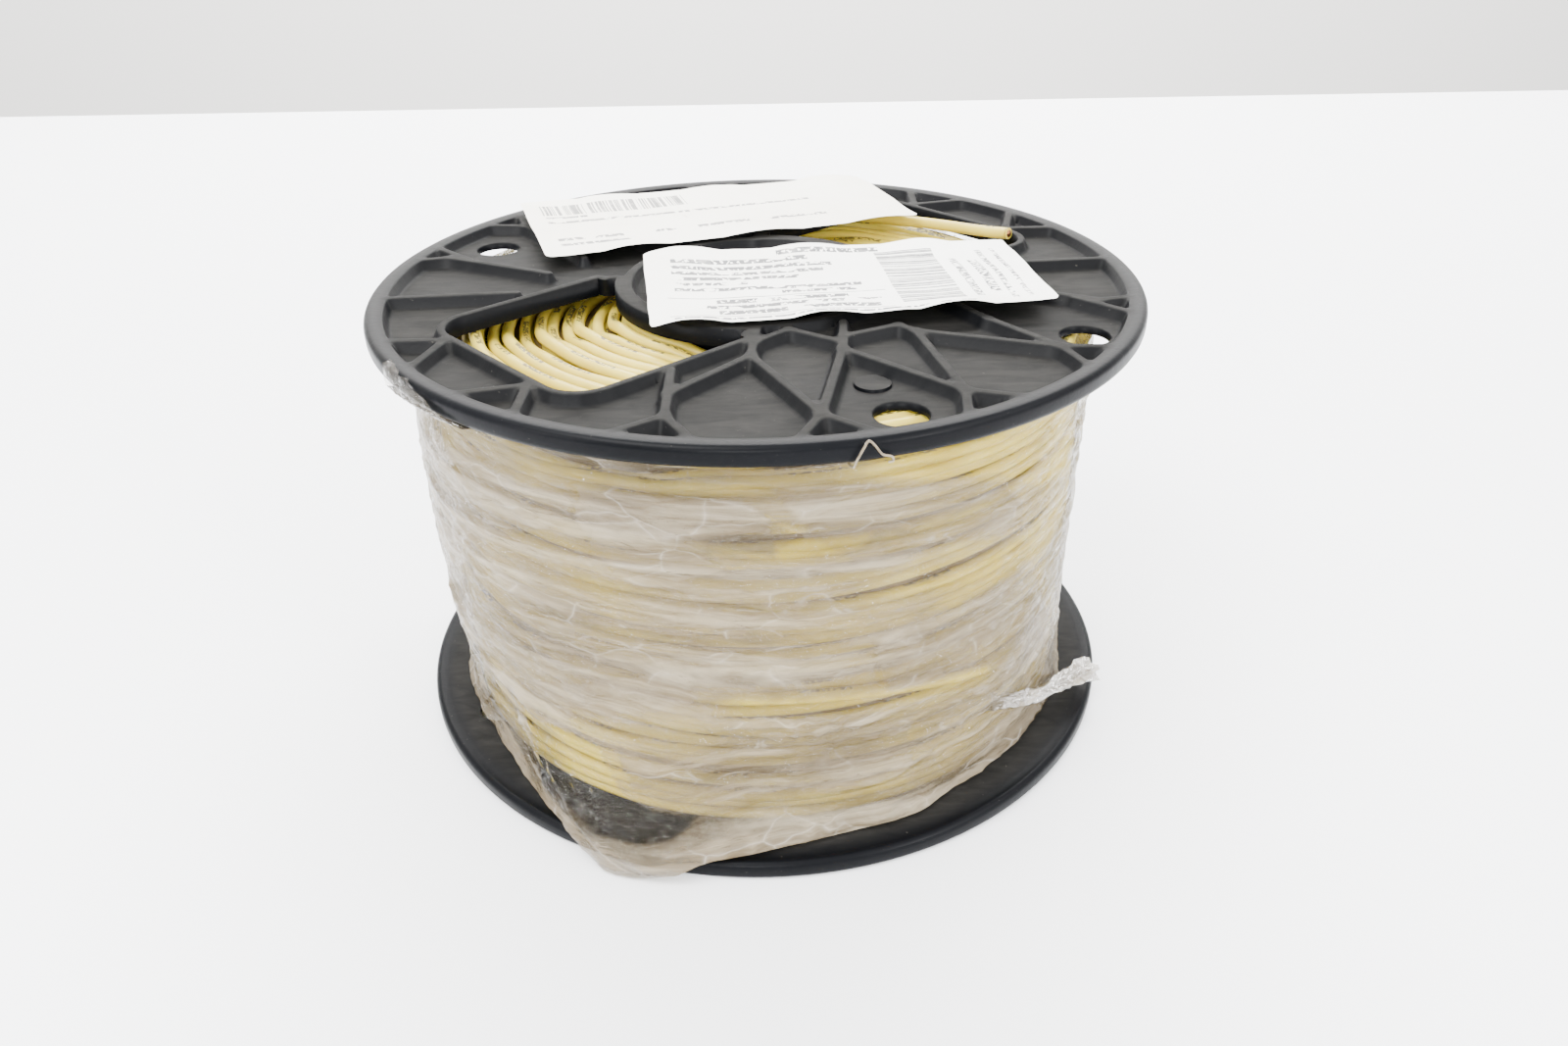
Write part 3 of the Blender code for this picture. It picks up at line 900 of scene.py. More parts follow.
def makeWireEnds():
    e = wireEnds
    outer = []
    startAngle, endAngle = e["outerAngles"]
    for share in np.linspace(0.0, 1.0, 60):
        angle = math.radians(startAngle + (endAngle - startAngle) * share)
        sink = max(0.0, 0.28 - share) / 0.28
        reach = e["outerReach"] - 0.0042 * sink * sink
        rise = e["outerHeight"] + 0.0012 * math.sin(share * 3.0)
        rise -= e["outerDrop"] * max(0.0, share - 0.25) ** 2
        outer.append((reach * math.cos(angle), reach * math.sin(angle), rise))
    inner = smoothRoute([(x * flangeRadius, y * flangeRadius, z) for x, y, z in e["innerRoute"]], 8)
    for name, path, node in (
        ("wireOuterEnd", outer, "wire_outer_end"),
        ("wireInnerEnd", inner, "wire_inner_end"),
    ):
        mesh = sweptTubes(name, [(path, 0.02)], winding["wireRadius"], e["sides"], False, 1)
        mesh.materials.append(wireJacket)
        mesh.materials.append(copper)
        newPiece(name, mesh, (node,))


makeWireEnds()
print("wire ends made")

# The stretch film. Angles are degrees from +X, hem reaches are shares of the flange's radius.
# Hem: angle and reach. Hang: angle and how far the hem hangs over the flange's edge.
# Veils (added haze) and pleats (rise in millimetres) have corners of (degrees, millimetres up).
film = {
    "columns": 560,
    "rows": 150,
    "seed": 5,
    "slack": 0.0012,
    "bulge": 0.0041,
    "top": 0.11315,
    "flangeTop": 0.0064,
    "hangFloor": 0.0010,
    "hem": [
        (0.0, 0.880), (180.0, 0.885), (192.0, 0.886), (204.0, 0.880), (214.0, 0.880), (221.0, 0.890),
        (227.0, 0.912), (232.0, 0.940), (237.0, 0.970), (243.0, 1.004), (250.0, 1.032), (254.0, 1.030),
        (259.0, 1.012), (266.0, 0.975), (276.0, 0.932), (288.0, 0.920), (293.0, 0.922), (299.0, 0.885),
        (312.0, 0.880), (329.0, 0.880), (345.0, 0.882),
    ],
    "hang": [(0.0, 0.0), (240.0, 0.0), (245.0, 0.6), (249.0, 0.97), (253.0, 1.0), (258.0, 0.0)],
    "folds": 90,
    "wrinkle": 0.00075,
    "ripple": 0.00020,
    "swell": 0.0011,
    "facetDepth": 0.0017,
    "glitter": [((270.0, 8.0, 7.0), (0.041, 0.004, 0.006)), ((240.0, 4.0, 6.0), (0.019, 0.004, 0.006))],
    "raggedness": 0.0035,
    "hemWidth": 0.0085,
    "deepest": -0.0011,
    "overFloor": 0.0007,
    "overFlange": 0.0056,
    "underFlange": 0.1136,
    "tailHaze": 0.46,
    "flapHaze": 0.14,
    "threadHaze": 0.95,
    "threadRadius": 0.00027,
    "tints": ("4C402B", "766850", "A3977F"),
    # Colour of the whitish crease lines: partly the film's own whitening at creases, partly painted glints.
    "creaseAndGlintColour": "D8D2C6",
    "flat": (0.60, 0.125),
    "veils": [
        (0.40, [(243, 99), (256, 100), (266, 100), (274, 91), (271, 86), (258, 91), (242, 90)]),
        (0.28, [(214, 93), (220, 102), (227, 97), (242, 97), (240, 90), (220, 73), (202, 61)]),
        (-0.34, [(269, 97), (276, 90), (286, 90), (284, 86), (272, 85)]),
        (0.24, [(270, 103), (278, 104), (308, 94), (314, 84), (314, 77), (298, 82), (284, 82), (276, 91)]),
        (0.32, [(288, 61), (319, 64), (334, 24), (312, 32), (288, 46)]),
        (0.28, [(212, 30), (256, 54), (259, 48), (236, 34), (222, 30)]),
        (-0.90, [(228, 29), (236, 31), (244, 31), (250, 22), (260, 17), (258, 12), (244, 8), (234, 12)]),
        (0.26, [(246, 33), (262, 36), (292, 33), (294, 19), (272, 18), (260, 19), (251, 24)]),
        (-0.50, [(212, 31), (222, 27), (230, 20), (240, 9), (238, 6), (224, 11), (209, 13)]),
        (-0.30, [(258, 15), (278, 16), (292, 18), (294, 12), (281, 10), (261, 10)]),
        (-0.34, [(284, 113), (340, 113), (340, 76), (317, 86), (308, 96), (284, 104)]),
        (-0.16, [(218, 113), (284, 113), (284, 103), (266, 101), (243, 101), (232, 104), (218, 101)]),
        (-0.55, [(84, 116), (188, 116), (178, 104), (160, 96), (134, 101), (112, 95), (98, 105)]),
        (-0.55, [(-14, 116), (52, 116), (40, 103), (22, 96), (8, 99), (-14, 96)]),
        (-0.50, [(330, 116), (374, 116), (374, 96), (346, 92), (338, 101)]),
        (0.22, [(20, 90), (74, 82), (96, 60), (60, 52), (30, 64)]),
        (-0.30, [(60, 44), (120, 50), (132, 36), (90, 26)]),
        (0.24, [(120, 92), (160, 84), (176, 58), (140, 50), (124, 66)]),
        (-0.26, [(6, 50), (38, 42), (50, 22), (14, 18)]),
    ],
    "pleats": [
        (0.9, [(206, 50), (212, 42), (219, 35), (231, 24), (243, 10), (250, 3)]),
        (0.8, [(244, 31), (250, 22), (258, 17), (272, 17), (290, 18), (304, 25)]),
        (0.5, [(226, 33), (240, 42), (257, 53)]),
        (0.5, [(230, 31), (243, 32), (256, 37), (270, 37)]),
        (0.5, [(220, 73), (243, 64), (258, 68)]),
        (0.5, [(258, 95), (262, 88), (274, 83), (292, 80)]),
        (0.4, [(300, 70), (288, 58), (284, 40), (278, 26)]),
        (0.4, [(268, 70), (282, 76), (304, 74)]),
        (0.5, [(20, 84), (60, 60), (84, 34), (120, 20)]),
        (0.5, [(110, 96), (140, 70), (180, 52)]),
        (0.4, [(30, 30), (70, 36), (104, 56), (150, 64)]),
    ],
}


# A table of (angle, value) read at any angle, closed and softened over a few degrees.
def tableAt(rows, angle):
    angles = [row[0] for row in rows]
    values = [row[1] for row in rows]
    softened = 0.0
    for shift, weight in ((-4.0, 0.15), (-2.0, 0.2), (0.0, 0.3), (2.0, 0.2), (4.0, 0.15)):
        softened += weight * np.interp((angle + shift) % 360.0, angles + [360.0], values + [values[0]])
    return softened


# Reach and height down the film at one angle, from its top edge to its hem.
def filmProfile(angle):
    f = film
    snug = windingRadius + f["slack"]
    hem = tableAt(f["hem"], angle) * flangeRadius
    hang = tableAt(f["hang"], angle)
    loose = f["bulge"] * float(smoothBump(angle, 190.0, 14.0, 52.0))
    ride = 0.0036 * float(smoothBump(angle, 287.0, 24.0, 14.0))
    tent = float(smoothBump(angle, 242.0, 11.0, 16.0))
    flare = max(0.0, hem - snug)
    share = np.linspace(1.0, 0.0, 60)
    swell = np.sin(np.pi / 2 * np.clip((1.0 - share) / 0.20, 0.0, 1.0))
    swell = swell * (0.5 - 0.5 * np.cos(np.pi * np.clip(share / 0.42, 0.0, 1.0)))
    rope = smoothBump(share, 0.355 - 0.04 * (angle - 267.0) / 34.0, 0.02, 0.10)
    opened = np.exp(-share / 0.085) - math.exp(-1.0 / 0.085)
    straight = np.clip(1.0 - share / 0.44, 0.0, 1.0)
    reach = snug + loose * swell + ride * rope + flare * (opened + (straight - opened) * tent)
    height = f["flangeTop"] + (f["top"] - f["flangeTop"]) * share
    low = f["flangeTop"] - hang * (f["flangeTop"] - f["hangFloor"])
    for part in (0.25, 0.5, 0.75, 1.0):
        reach = np.append(reach, snug + flare + 0.0008 * math.sin(part * 2.6) * (0.3 + hang))
        height = np.append(height, f["flangeTop"] + (low - f["flangeTop"]) * part - 0.0002 * part)
    return reach, height


# Sharp-crested noise from 0 to 1 at one place, as in crumpled film.
def ridged(place, octaves):
    total = 0.0
    size = 1.0
    weight = 1.0
    whole = 0.0
    for octave in range(octaves):
        wave = noise.noise(place * size + Vector((octave * 7.7, 0.0, 0.0)))
        total += weight * (1.0 - min(1.0, 2.4 * abs(wave)))
        whole += weight
        size *= 2.1
        weight *= 0.55
    return total / whole


# Reach and height on a grid of angles and steps down the film, and the run left to its hem.
def filmGrid():
    columns = film["columns"]
    rows = film["rows"]
    reach, height, runs = (np.zeros((columns, rows + 1)) for part in range(3))
    for i in range(columns):
        r, z = filmProfile(360.0 * i / columns)
        steps = np.concatenate([[0.0], np.cumsum(np.hypot(np.diff(r), np.diff(z)))])
        spots = np.linspace(0.0, steps[-1], rows + 1)
        reach[i] = np.interp(spots, steps, r)
        height[i] = np.interp(spots, steps, z)
        runs[i] = steps[-1] - spots
    return reach, height, runs


# Crumple, finer facets where the glitter is, broad swell and cloud over the grid.
def filmNoises(turn, height, glitter):
    crumple, facets, broad, cloud = (np.zeros(height.shape) for part in range(4))
    for i, j in np.ndindex(height.shape):
        angle = turn[i, 0]
        spot = Vector((math.cos(angle) * 0.09, math.sin(angle) * 0.09, height[i, j] * 1.5))
        crumple[i, j] = ridged(spot * 75.0, 3)
        if glitter[i, j] > 0.0:
            facets[i, j] = ridged(spot * 190.0, 2)
        broad[i, j] = noise.noise(spot * 24.0)
        cloud[i, j] = noise.noise(spot * 34.0 + Vector((3.0, 9.0, 1.0)))
    return crumple, facets, broad, cloud


# Height of the slanting folds at their random places.
def filmFolds(around, height, snug):
    rng = random.Random(film["seed"])
    push = np.zeros(height.shape)
    for fold in range(film["folds"]):
        startAngle = rng.uniform(0.0, 360.0)
        startHeight = rng.uniform(0.02, 0.112)
        lean = math.radians(rng.uniform(-48.0, -4.0) if rng.random() < 0.72 else rng.uniform(0.0, 35.0))
        length = rng.uniform(0.018, 0.085)
        width = rng.uniform(0.0005, 0.0014)
        rise = rng.uniform(0.00025, 0.00085)
        bend = rng.uniform(-0.010, 0.010)
        x = (around - math.radians(startAngle) * snug + math.pi * snug) % (math.tau * snug) - math.pi * snug
        y = height - startHeight
        run = x * math.cos(lean) + y * math.sin(lean)
        off = -x * math.sin(lean) + y * math.cos(lean) - bend * (run / length) * (1.0 - run / length)
        fade = smoothBump(run, length / 2.0, length * 0.25, length * 0.30)
        push += rise * fade * np.exp(-np.abs(off) / width)
    return push


# Added haze and height of the veils and pleats.
def filmLayers(ragged, height, snug):
    veil = np.zeros(height.shape)
    push = np.zeros(height.shape)
    for change, corners in film["veils"]:
        loop = np.array([(math.radians(angle) * snug, up * 0.001) for angle, up in corners])
        away = toLine(ragged, height, np.vstack([loop, loop[:1]]))
        inside = insideLoop(ragged, height, loop)
        veil += change * np.clip(0.5 + np.where(inside, away, -away) / 0.0010, 0.0, 1.0)
        push += 0.00018 * np.exp(-away / 0.0006)
    for rise, corners in film["pleats"]:
        line = [(math.radians(angle) * snug, up * 0.001) for angle, up in corners]
        away = toLine(ragged, height, line)
        veil += 0.22 * np.exp(-away / 0.0006)
        push += 0.001 * rise * np.exp(-away / 0.0009)
    return veil, push


# Haze from 0 clear to 1 milky: cloudier at the left and the hem, clear along the wire's outer end.
def filmHaze(spread, height, cloud, crumple, hemline, veil):
    e = wireEnds
    bare = smoothBump(spread, 320.0, 20.0, 30.0) * smoothBump(height, 0.098, 0.015, 0.040)
    milk = smoothBump(spread, 228.0, 30.0, 40.0) * smoothBump(height, 0.075, 0.020, 0.025)
    haze = 0.50 + 0.26 * cloud + 0.14 * milk - 0.18 * bare + 0.36 * hemline
    haze += veil * (1.0 - 0.9 * hemline)
    share = (spread - e["outerAngles"][0]) / (e["outerAngles"][1] - e["outerAngles"][0])
    wireHeight = e["outerHeight"] - e["outerDrop"] * np.clip(share - 0.25, 0.0, 1.0) ** 2
    beside = smoothBump(height - wireHeight, 0.0, 0.0012, 0.0022) * smoothBump(share, 0.62, 0.33, 0.10)
    haze *= 1.0 - 0.85 * beside
    haze += 0.12 * np.clip(crumple * 2.4 - 1.4, 0.0, 1.0)
    return np.clip(haze, 0.0, 0.97)


def setHaze(mesh, values):
    layer = mesh.attributes.new("haze", "FLOAT", "POINT")
    layer.data.foreach_set("value", np.array(values, np.float32).ravel())
    mesh.update()


# The film round the winding. Its UV map is its place round and up in metres.
def makeFilmMesh():
    f = film
    snug = windingRadius + f["slack"]
    reach, height, runs = filmGrid()
    columns, wide = reach.shape
    turn = np.radians(360.0 * np.arange(columns) / columns)[:, None] + np.zeros((1, wide))
    around = turn * snug
    spread = np.degrees(turn)
    slackness = np.clip((reach - snug) / 0.003, 0.0, 1.0)
    low = smoothBump(height, 0.0, 0.012, 0.030)
    frontLeft = smoothBump(spread, 238.0, 14.0, 40.0)
    glitter = np.zeros(reach.shape)
    for sideways, upwards in f["glitter"]:
        glitter = np.maximum(glitter, smoothBump(spread, *sideways) * smoothBump(height, *upwards))
    crumple, facets, broad, cloud = filmNoises(turn, height, glitter)
    pitch = (windingHigh - windingLow) / winding["turnsUp"]
    push = f["ripple"] * np.cos(math.tau * height / pitch + 3.0 * broad) * (1.0 - slackness)
    amount = f["wrinkle"] * (0.45 + 0.45 * low + 0.3 * frontLeft * low + 0.35 * slackness)
    push += amount * (crumple - 0.55) * 1.4
    push += f["facetDepth"] * glitter * (facets - 0.35)
    push += f["swell"] * broad * (0.45 + 0.7 * slackness)
    push += filmFolds(around, height, snug)
    veil, raised = filmLayers(around + f["raggedness"] * broad, height, snug)
    push += raised
    hemline = np.exp(-(runs / f["hemWidth"]) ** 2)
    ropes = np.cos(runs / f["hemWidth"] * 7.5 + 2.5 * broad) * 0.5 + 0.5
    push += hemline * (0.0004 + 0.0016 * ropes * (0.6 + 0.8 * np.abs(cloud)))
    push *= 0.15 + 0.85 * np.clip((f["top"] - height) / 0.004, 0.0, 1.0)
    push = np.maximum(push, f["deepest"])
    slopeOut = np.gradient(reach, axis=1)
    slopeUp = np.gradient(height, axis=1)
    size = np.hypot(slopeOut, slopeUp) + 1e-9
    out = reach - push * slopeUp / size
    up = np.maximum(height + push * slopeOut / size, f["overFloor"])
    up = np.where((out < flangeRadius + 0.0004) & (up < f["overFlange"]), f["overFlange"], up)
    up = np.minimum(up, f["underFlange"])
    points = np.stack([out * np.cos(turn), out * np.sin(turn), up], -1).reshape(-1, 3)
    faces = []
    uvs = []
    for i in range(columns):
        k = (i + 1) % columns
        nextAround = (i + 1) * math.tau / columns * snug
        for j in range(wide - 1):
            faces.append((i * wide + j, i * wide + j + 1, k * wide + j + 1, k * wide + j))
            uvs.extend((
                (around[i, 0], height[i, j]), (around[i, 0], height[i, j + 1]),
                (nextAround, height[k, j + 1]), (nextAround, height[k, j]),
            ))
    mesh = bpy.data.meshes.new("stretchFilm")
    mesh.from_pydata([tuple(v) for v in points], [], faces)
    layer = mesh.uv_layers.new(name="filmPlace")
    layer.data.foreach_set("uv", np.array(uvs, np.float32).ravel())
    setHaze(mesh, filmHaze(spread, height, cloud, crumple, hemline, veil))
    return mesh


# Clear polyethylene stretch film in layers: milky where layers stick, clear where single.
def makeFilmMaterial():
    material, tree, output = newMaterial("wrinkledStretchFilm")
    point = objectPoint(tree)
    haze = addNode(tree, "ShaderNodeAttribute", {"attribute_name": "haze"}).outputs["Fac"]
    along = noiseOn(tree, scaled(tree, point, (14.0, 14.0, 170.0), (0.0, -0.12, 0.0)), 1.0, 5.0, 0.62, 0.6)
    slanted = noiseOn(tree, scaled(tree, point, (38.0, 38.0, 120.0), (0.0, 0.55, 0.0)), 1.0, 4.0, 0.6, 0.9)
    patches = addNode(
        tree,
        "ShaderNodeTexVoronoi",
        {"feature": "F1"},
        {"Vector": scaled(tree, point, (22.0, 22.0, 50.0), (0.0, 0.35, 0.0)), "Scale": 1.0},
    )
    layerTone = addNode(tree, "ShaderNodeSeparateColor", None, {"Color": patches.outputs["Color"]}).outputs[0]
    fine = noiseOn(tree, point, 340.0, 5.0, 0.7, 0.4)
    bent = addNode(
        tree, "ShaderNodeTexNoise", None, {"Vector": point, "Scale": 60.0, "Detail": 2.0}
    ).outputs["Color"]
    shifted = addNode(
        tree,
        "ShaderNodeVectorMath",
        {"operation": "MULTIPLY_ADD"},
        {0: bent, 1: (0.9, 0.9, 0.9), 2: scaled(tree, point, (52.0, 52.0, 150.0), (0.0, 0.35, 0.0))},
    ).outputs[0]
    network = addNode(
        tree, "ShaderNodeTexVoronoi", {"feature": "DISTANCE_TO_EDGE"}, {"Vector": shifted, "Scale": 1.0}
    ).outputs["Distance"]
    # Whitish crease lines: partly the film's own whitening at its creases, partly painted glints along the
    # wrinkles.
    crease = addRamp(tree, network, [(0.0, 1.0), (0.022, 0.3), (0.06, 0.0)])
    shown = addRamp(tree, slanted, [(0.46, 0.0), (0.60, 1.0)])
    creaseAndGlintLines = addMath(tree, "MULTIPLY", crease, shown)
    amount = addMath(tree, "MULTIPLY", addMath(tree, "SUBTRACT", along, 0.5), 1.10)
    amount = addMath(tree, "MULTIPLY_ADD", addMath(tree, "SUBTRACT", slanted, 0.5), 0.85, amount)
    amount = addMath(tree, "MULTIPLY_ADD", addMath(tree, "SUBTRACT", layerTone, 0.5), 0.16, amount)
    amount = addMath(tree, "MULTIPLY_ADD", creaseAndGlintLines, 0.08, amount)
    gain = addMath(tree, "MINIMUM", addMath(tree, "MULTIPLY", haze, 2.4), 1.0)
    amount = addMath(tree, "MULTIPLY_ADD", amount, gain, haze)
    amount = addNode(
        tree, "ShaderNodeMapRange", None, {"Value": amount, "To Min": 0.03, "To Max": 0.93}
    ).outputs["Result"]
    creases = noiseOn(tree, scaled(tree, point, (120.0, 120.0, 380.0), (0.0, 0.3, 0.0)), 1.0, 4.0, 0.65, 1.4)
    bump = bumpOn(tree, along, 0.0008, 0.7)
    bump = bumpOn(tree, network, 0.0014, 0.9, bump)
    bump = bumpOn(tree, creases, 0.0006, 0.9, bump)
    bump = bumpOn(tree, fine, 0.0003, 0.8, bump)
    crisp = bumpOn(tree, creases, 0.0012, 1.0, bumpOn(tree, network, 0.0036, 1.0, bump))
    tint = addRamp(tree, along, zip((0.30, 0.47, 0.66), film["tints"]))
    tint = addMix(tree, addMath(tree, "MULTIPLY", creaseAndGlintLines, 0.30), tint, film["creaseAndGlintColour"])
    milky = addNode(
        tree,
        "ShaderNodeBsdfPrincipled",
        None,
        {
            "Base Color": tint,
            "Roughness": 0.42,
            "Specular IOR Level": 0.2,
            "Normal": bump,
            "Coat Weight": 1.0,
            "Coat IOR": 1.45,
            "Coat Roughness": 0.05,
            "Coat Normal": crisp,
        },
    )
    through = addNode(tree, "ShaderNodeBsdfTranslucent", None, {"Color": tint, "Normal": bump})
    milky = addShaderMix(tree, 0.34, milky, through)
    clear = addNode(tree, "ShaderNodeBsdfTransparent", None, {"Color": (0.97, 0.96, 0.94, 1.0)})
    gloss = addNode(tree, "ShaderNodeBsdfGlossy", None, {"Roughness": 0.05, "Normal": crisp})
    edge = addNode(tree, "ShaderNodeFresnel", None, {"IOR": 1.30, "Normal": bump}).outputs[0]
    surface = addShaderMix(tree, amount, addShaderMix(tree, edge, clear, gloss), milky)
    tree.links.new(surface.outputs[0], output.inputs["Surface"])
    return material


# The twisted tail of film at the right, from the winding to past the flange's rim.
def makeTwist():
    route = smoothRoute([
        (0.560, -0.640, 0.0245), (0.700, -0.560, 0.0190),
        (0.830, -0.430, 0.0135), (0.925, -0.335, 0.0105),
    ], 14)
    route[:, :2] *= flangeRadius
    sides = 26
    points = []
    faces = []
    for i, spot in enumerate(route):
        share = i / (len(route) - 1)
        tangent = Vector(route[min(i + 1, len(route) - 1)] - route[max(i - 1, 0)]).normalized()
        side = tangent.cross(Vector((0.0, 0.0, 1.0))).normalized()
        upward = side.cross(tangent)
        width = 0.0016 + 0.0024 * abs(share - 0.45)
        width += 0.0016 * max(0.0, share - 0.6) + 0.004 * max(0.0, 0.15 - share)
        for j in range(sides):
            turn = math.tau * j / sides
            cos = math.cos(turn)
            sin = math.sin(turn)
            lobes = 1.0 + 0.30 * math.cos(5.0 * turn + 9.0 * share)
            lobes += 0.16 * math.cos(9.0 * turn - 15.0 * share)
            lobes += 0.35 * noise.noise(Vector((cos, sin, share * 16.0)))
            torn = 0.05 * max(0.0, share - 0.93) * noise.noise(Vector((cos * 3, sin * 3, 4.0)))
            swept = Vector(spot) + width * lobes * (cos * side + 0.72 * sin * upward)
            points.append(tuple(swept + torn * tangent))
    for i in range(len(route) - 1):
        near = i * sides
        far = near + sides
        for j in range(sides):
            k = (j + 1) % sides
            faces.append((near + j, near + k, far + k, far + j))
    mesh = bpy.data.meshes.new("filmTail")
    mesh.from_pydata(points, [], faces)
    setHaze(mesh, [film["tailHaze"]] * len(points))
    return mesh


# A scrap of film pulled up over the upper flange's rim at the left front.
def makeRimFlap():
    columns = 44
    rows = 22
    section = np.array([
        (0.915, -0.0072), (0.950, -0.0062), (0.985, -0.0058), (1.006, -0.0050),
        (1.0075, -0.0025), (1.003, 0.0003), (0.985, 0.0006), (0.968, 0.0005),
    ])
    points = []
    faces = []
    for i in range(columns + 1):
        share = i / columns
        angle = math.radians(213.5 + 18.5 * share)
        torn = 0.9 + 0.35 * noise.noise(Vector((share * 9.0, 0.0, 2.0)))
        reachShare = 0.92 * max(0.0, 1.0 - 1.1 * share) ** 0.8 * torn
        for j in range(rows):
            place = j / (rows - 1) * (len(section) - 1) * min(1.0, 0.42 + 0.58 * reachShare)
            k = min(int(place), len(section) - 2)
            r, z = section[k] + (section[k + 1] - section[k]) * (place - k)
            crinkle = 0.0005 * (ridged(Vector((share * 12.0, place * 1.6, 5.0)), 2) - 0.2)
            reach = r * flangeRadius + crinkle
            points.append((reach * math.cos(angle), reach * math.sin(angle), reelTop + z + 0.6 * crinkle))
    for i in range(columns):
        for j in range(rows - 1):
            near = i * rows + j
            far = near + rows
            faces.append((near, far, far + 1, near + 1))
    mesh = bpy.data.meshes.new("filmRimFlap")
    mesh.from_pydata(points, [], faces)
    setHaze(mesh, [film["flapHaze"]] * len(points))
    return mesh


# A thin loop of pulled film that hangs over the upper flange's rim at the front.
def makeThread():
    route = smoothRoute([
        (0.1700, -0.9200, 1.1000), (0.1790, -0.9780, 1.1120), (0.1840, -0.9910, 1.1320),
        (0.1990, -0.9900, 1.1620), (0.2080, -0.9860, 1.1740), (0.2200, -0.9850, 1.1640),
        (0.2360, -0.9810, 1.1420), (0.2540, -0.9770, 1.1350), (0.2580, -0.9740, 1.1240),
        (0.2500, -0.9700, 1.1190),
    ], 6) * flangeRadius
    mesh = sweptTubes("filmThread", [(route, 0.0)], film["threadRadius"], 6, False)
    setHaze(mesh, [film["threadHaze"]] * len(mesh.vertices))
    return mesh


def makeFilm():
    material = makeFilmMaterial()
    sheet = makeFilmMesh()
    sheet.materials.append(material)
    whole = newPiece("stretchFilm", sheet, ("stretch_wrap",))
    for mesh in (makeTwist(), makeRimFlap(), makeThread()):
        mesh.materials.append(material)
        newPiece(mesh.name, mesh).name
    print("film faces", len(sheet.polygons))


makeFilm()
print("film made")

# The two paper labels: corner lifts in millimetres at front left, front right, back right, back left.
labels = [
    {
        "name": "productLabelPaper",
        "node": "product_label",
        "slot": "label_paper",
        "size": (0.1016, 0.0508),
        "centre": (0.216, -0.084),
        "turn": 6.0,
        "lifts": (0.5, 2.0, 1.5, 3.0),
        "seed": 3,
        "wave": 0.0011,
    },
    {
        "name": "stockLabelPaper",
        "node": "stock_label",
        "slot": "stock_label_paper",
        "size": (0.1140, 0.0508),
        "centre": (-0.118, 0.572),
        "turn": 17.4,
        "lifts": (0.4, 0.5, 0.6, 2.6),
        "seed": 8,
        "wave": 0.0008,
    },
]


# A creased paper rectangle, with a UV map of shares of its width and height.
def makeLabelMesh(label):
    columns = 112
    rows = 56
    rounding = 0.0020
    width, depth = label["size"]
    turn = math.radians(label["turn"])
    centre = Vector((label["centre"][0] * flangeRadius, label["centre"][1] * flangeRadius))
    frontLeft, frontRight, backRight, backLeft = (lift * 0.001 for lift in label["lifts"])
    points = []
    faces = []
    uvs = []
    for j in range(rows + 1):
        v = j / rows
        for i in range(columns + 1):
            u = i / columns
            x = (u - 0.5) * width
            y = (v - 0.5) * depth
            edge = 0.00035 * noise.noise(Vector((u * 9.0, v * 5.0, label["seed"] + 0.3)))
            acrossLeft = rounding - min(u, 1.0 - u) * width
            deepLeft = rounding - min(v, 1.0 - v) * depth
            away = math.hypot(acrossLeft, deepLeft)
            if acrossLeft > 0.0 and deepLeft > 0.0 and away > rounding:
                pull = 1.0 - rounding / away
                x -= math.copysign(acrossLeft * pull, x)
                y -= math.copysign(deepLeft * pull, y)
            lift = (frontLeft * (1 - u) + frontRight * u) * (1 - v) + (backRight * u + backLeft * (1 - u)) * v
            sag = min(1.0, 2.0 * max(abs(u - 0.5), abs(v - 0.5))) ** 3
            wave = noise.noise(Vector((u * 5.0, v * 2.2, label["seed"])))
            wave *= label["wave"] * (0.35 + 0.65 * sag)
            wave += label["wave"] * 0.8 * (abs(v - 0.5) * 2.0) ** 4 * math.sin(u * 19.0 + label["seed"] * 2.0)
            crease = 0.00022 * ridged(Vector((u * 5.0, v * 2.5, label["seed"] * 2.0)), 2)
            rise = 0.0004 + lift * (0.25 + 0.75 * sag) + max(-0.0002, wave) + crease
            x += edge
            y += edge
            points.append((
                centre.x + x * math.cos(turn) - y * math.sin(turn),
                centre.y + x * math.sin(turn) + y * math.cos(turn),
                reelTop + rise,
            ))
    wide = columns + 1
    for j in range(rows):
        for i in range(columns):
            faces.append((j * wide + i, j * wide + i + 1, (j + 1) * wide + i + 1, (j + 1) * wide + i))
            for k, m in ((0, 0), (1, 0), (1, 1), (0, 1)):
                uvs.append(((i + k) / columns, (j + m) / rows))
    mesh = bpy.data.meshes.new(label["name"])
    mesh.from_pydata(points, [], faces)
    layer = mesh.uv_layers.new(name="labelPlace")
    layer.data.foreach_set("uv", np.array(uvs, np.float32).ravel())
    mesh.update()
    return mesh


# 1 inside a box (left, right, bottom, top) of label shares.
def boxMask(tree, across, upward, box):
    left, right, bottom, top = box
    first = addMath(tree, "COMPARE", across, (left + right) / 2.0, (right - left) / 2.0)
    second = addMath(tree, "COMPARE", upward, (bottom + top) / 2.0, (top - bottom) / 2.0)
    return addMath(tree, "MULTIPLY", first, second)


def boxMasks(tree, across, upward, boxes):
    masks = [boxMask(tree, across, upward, box) for box in boxes]
    total = masks[0]
    for mask in masks[1:]:
        total = addMath(tree, "MAXIMUM", total, mask)
    return total


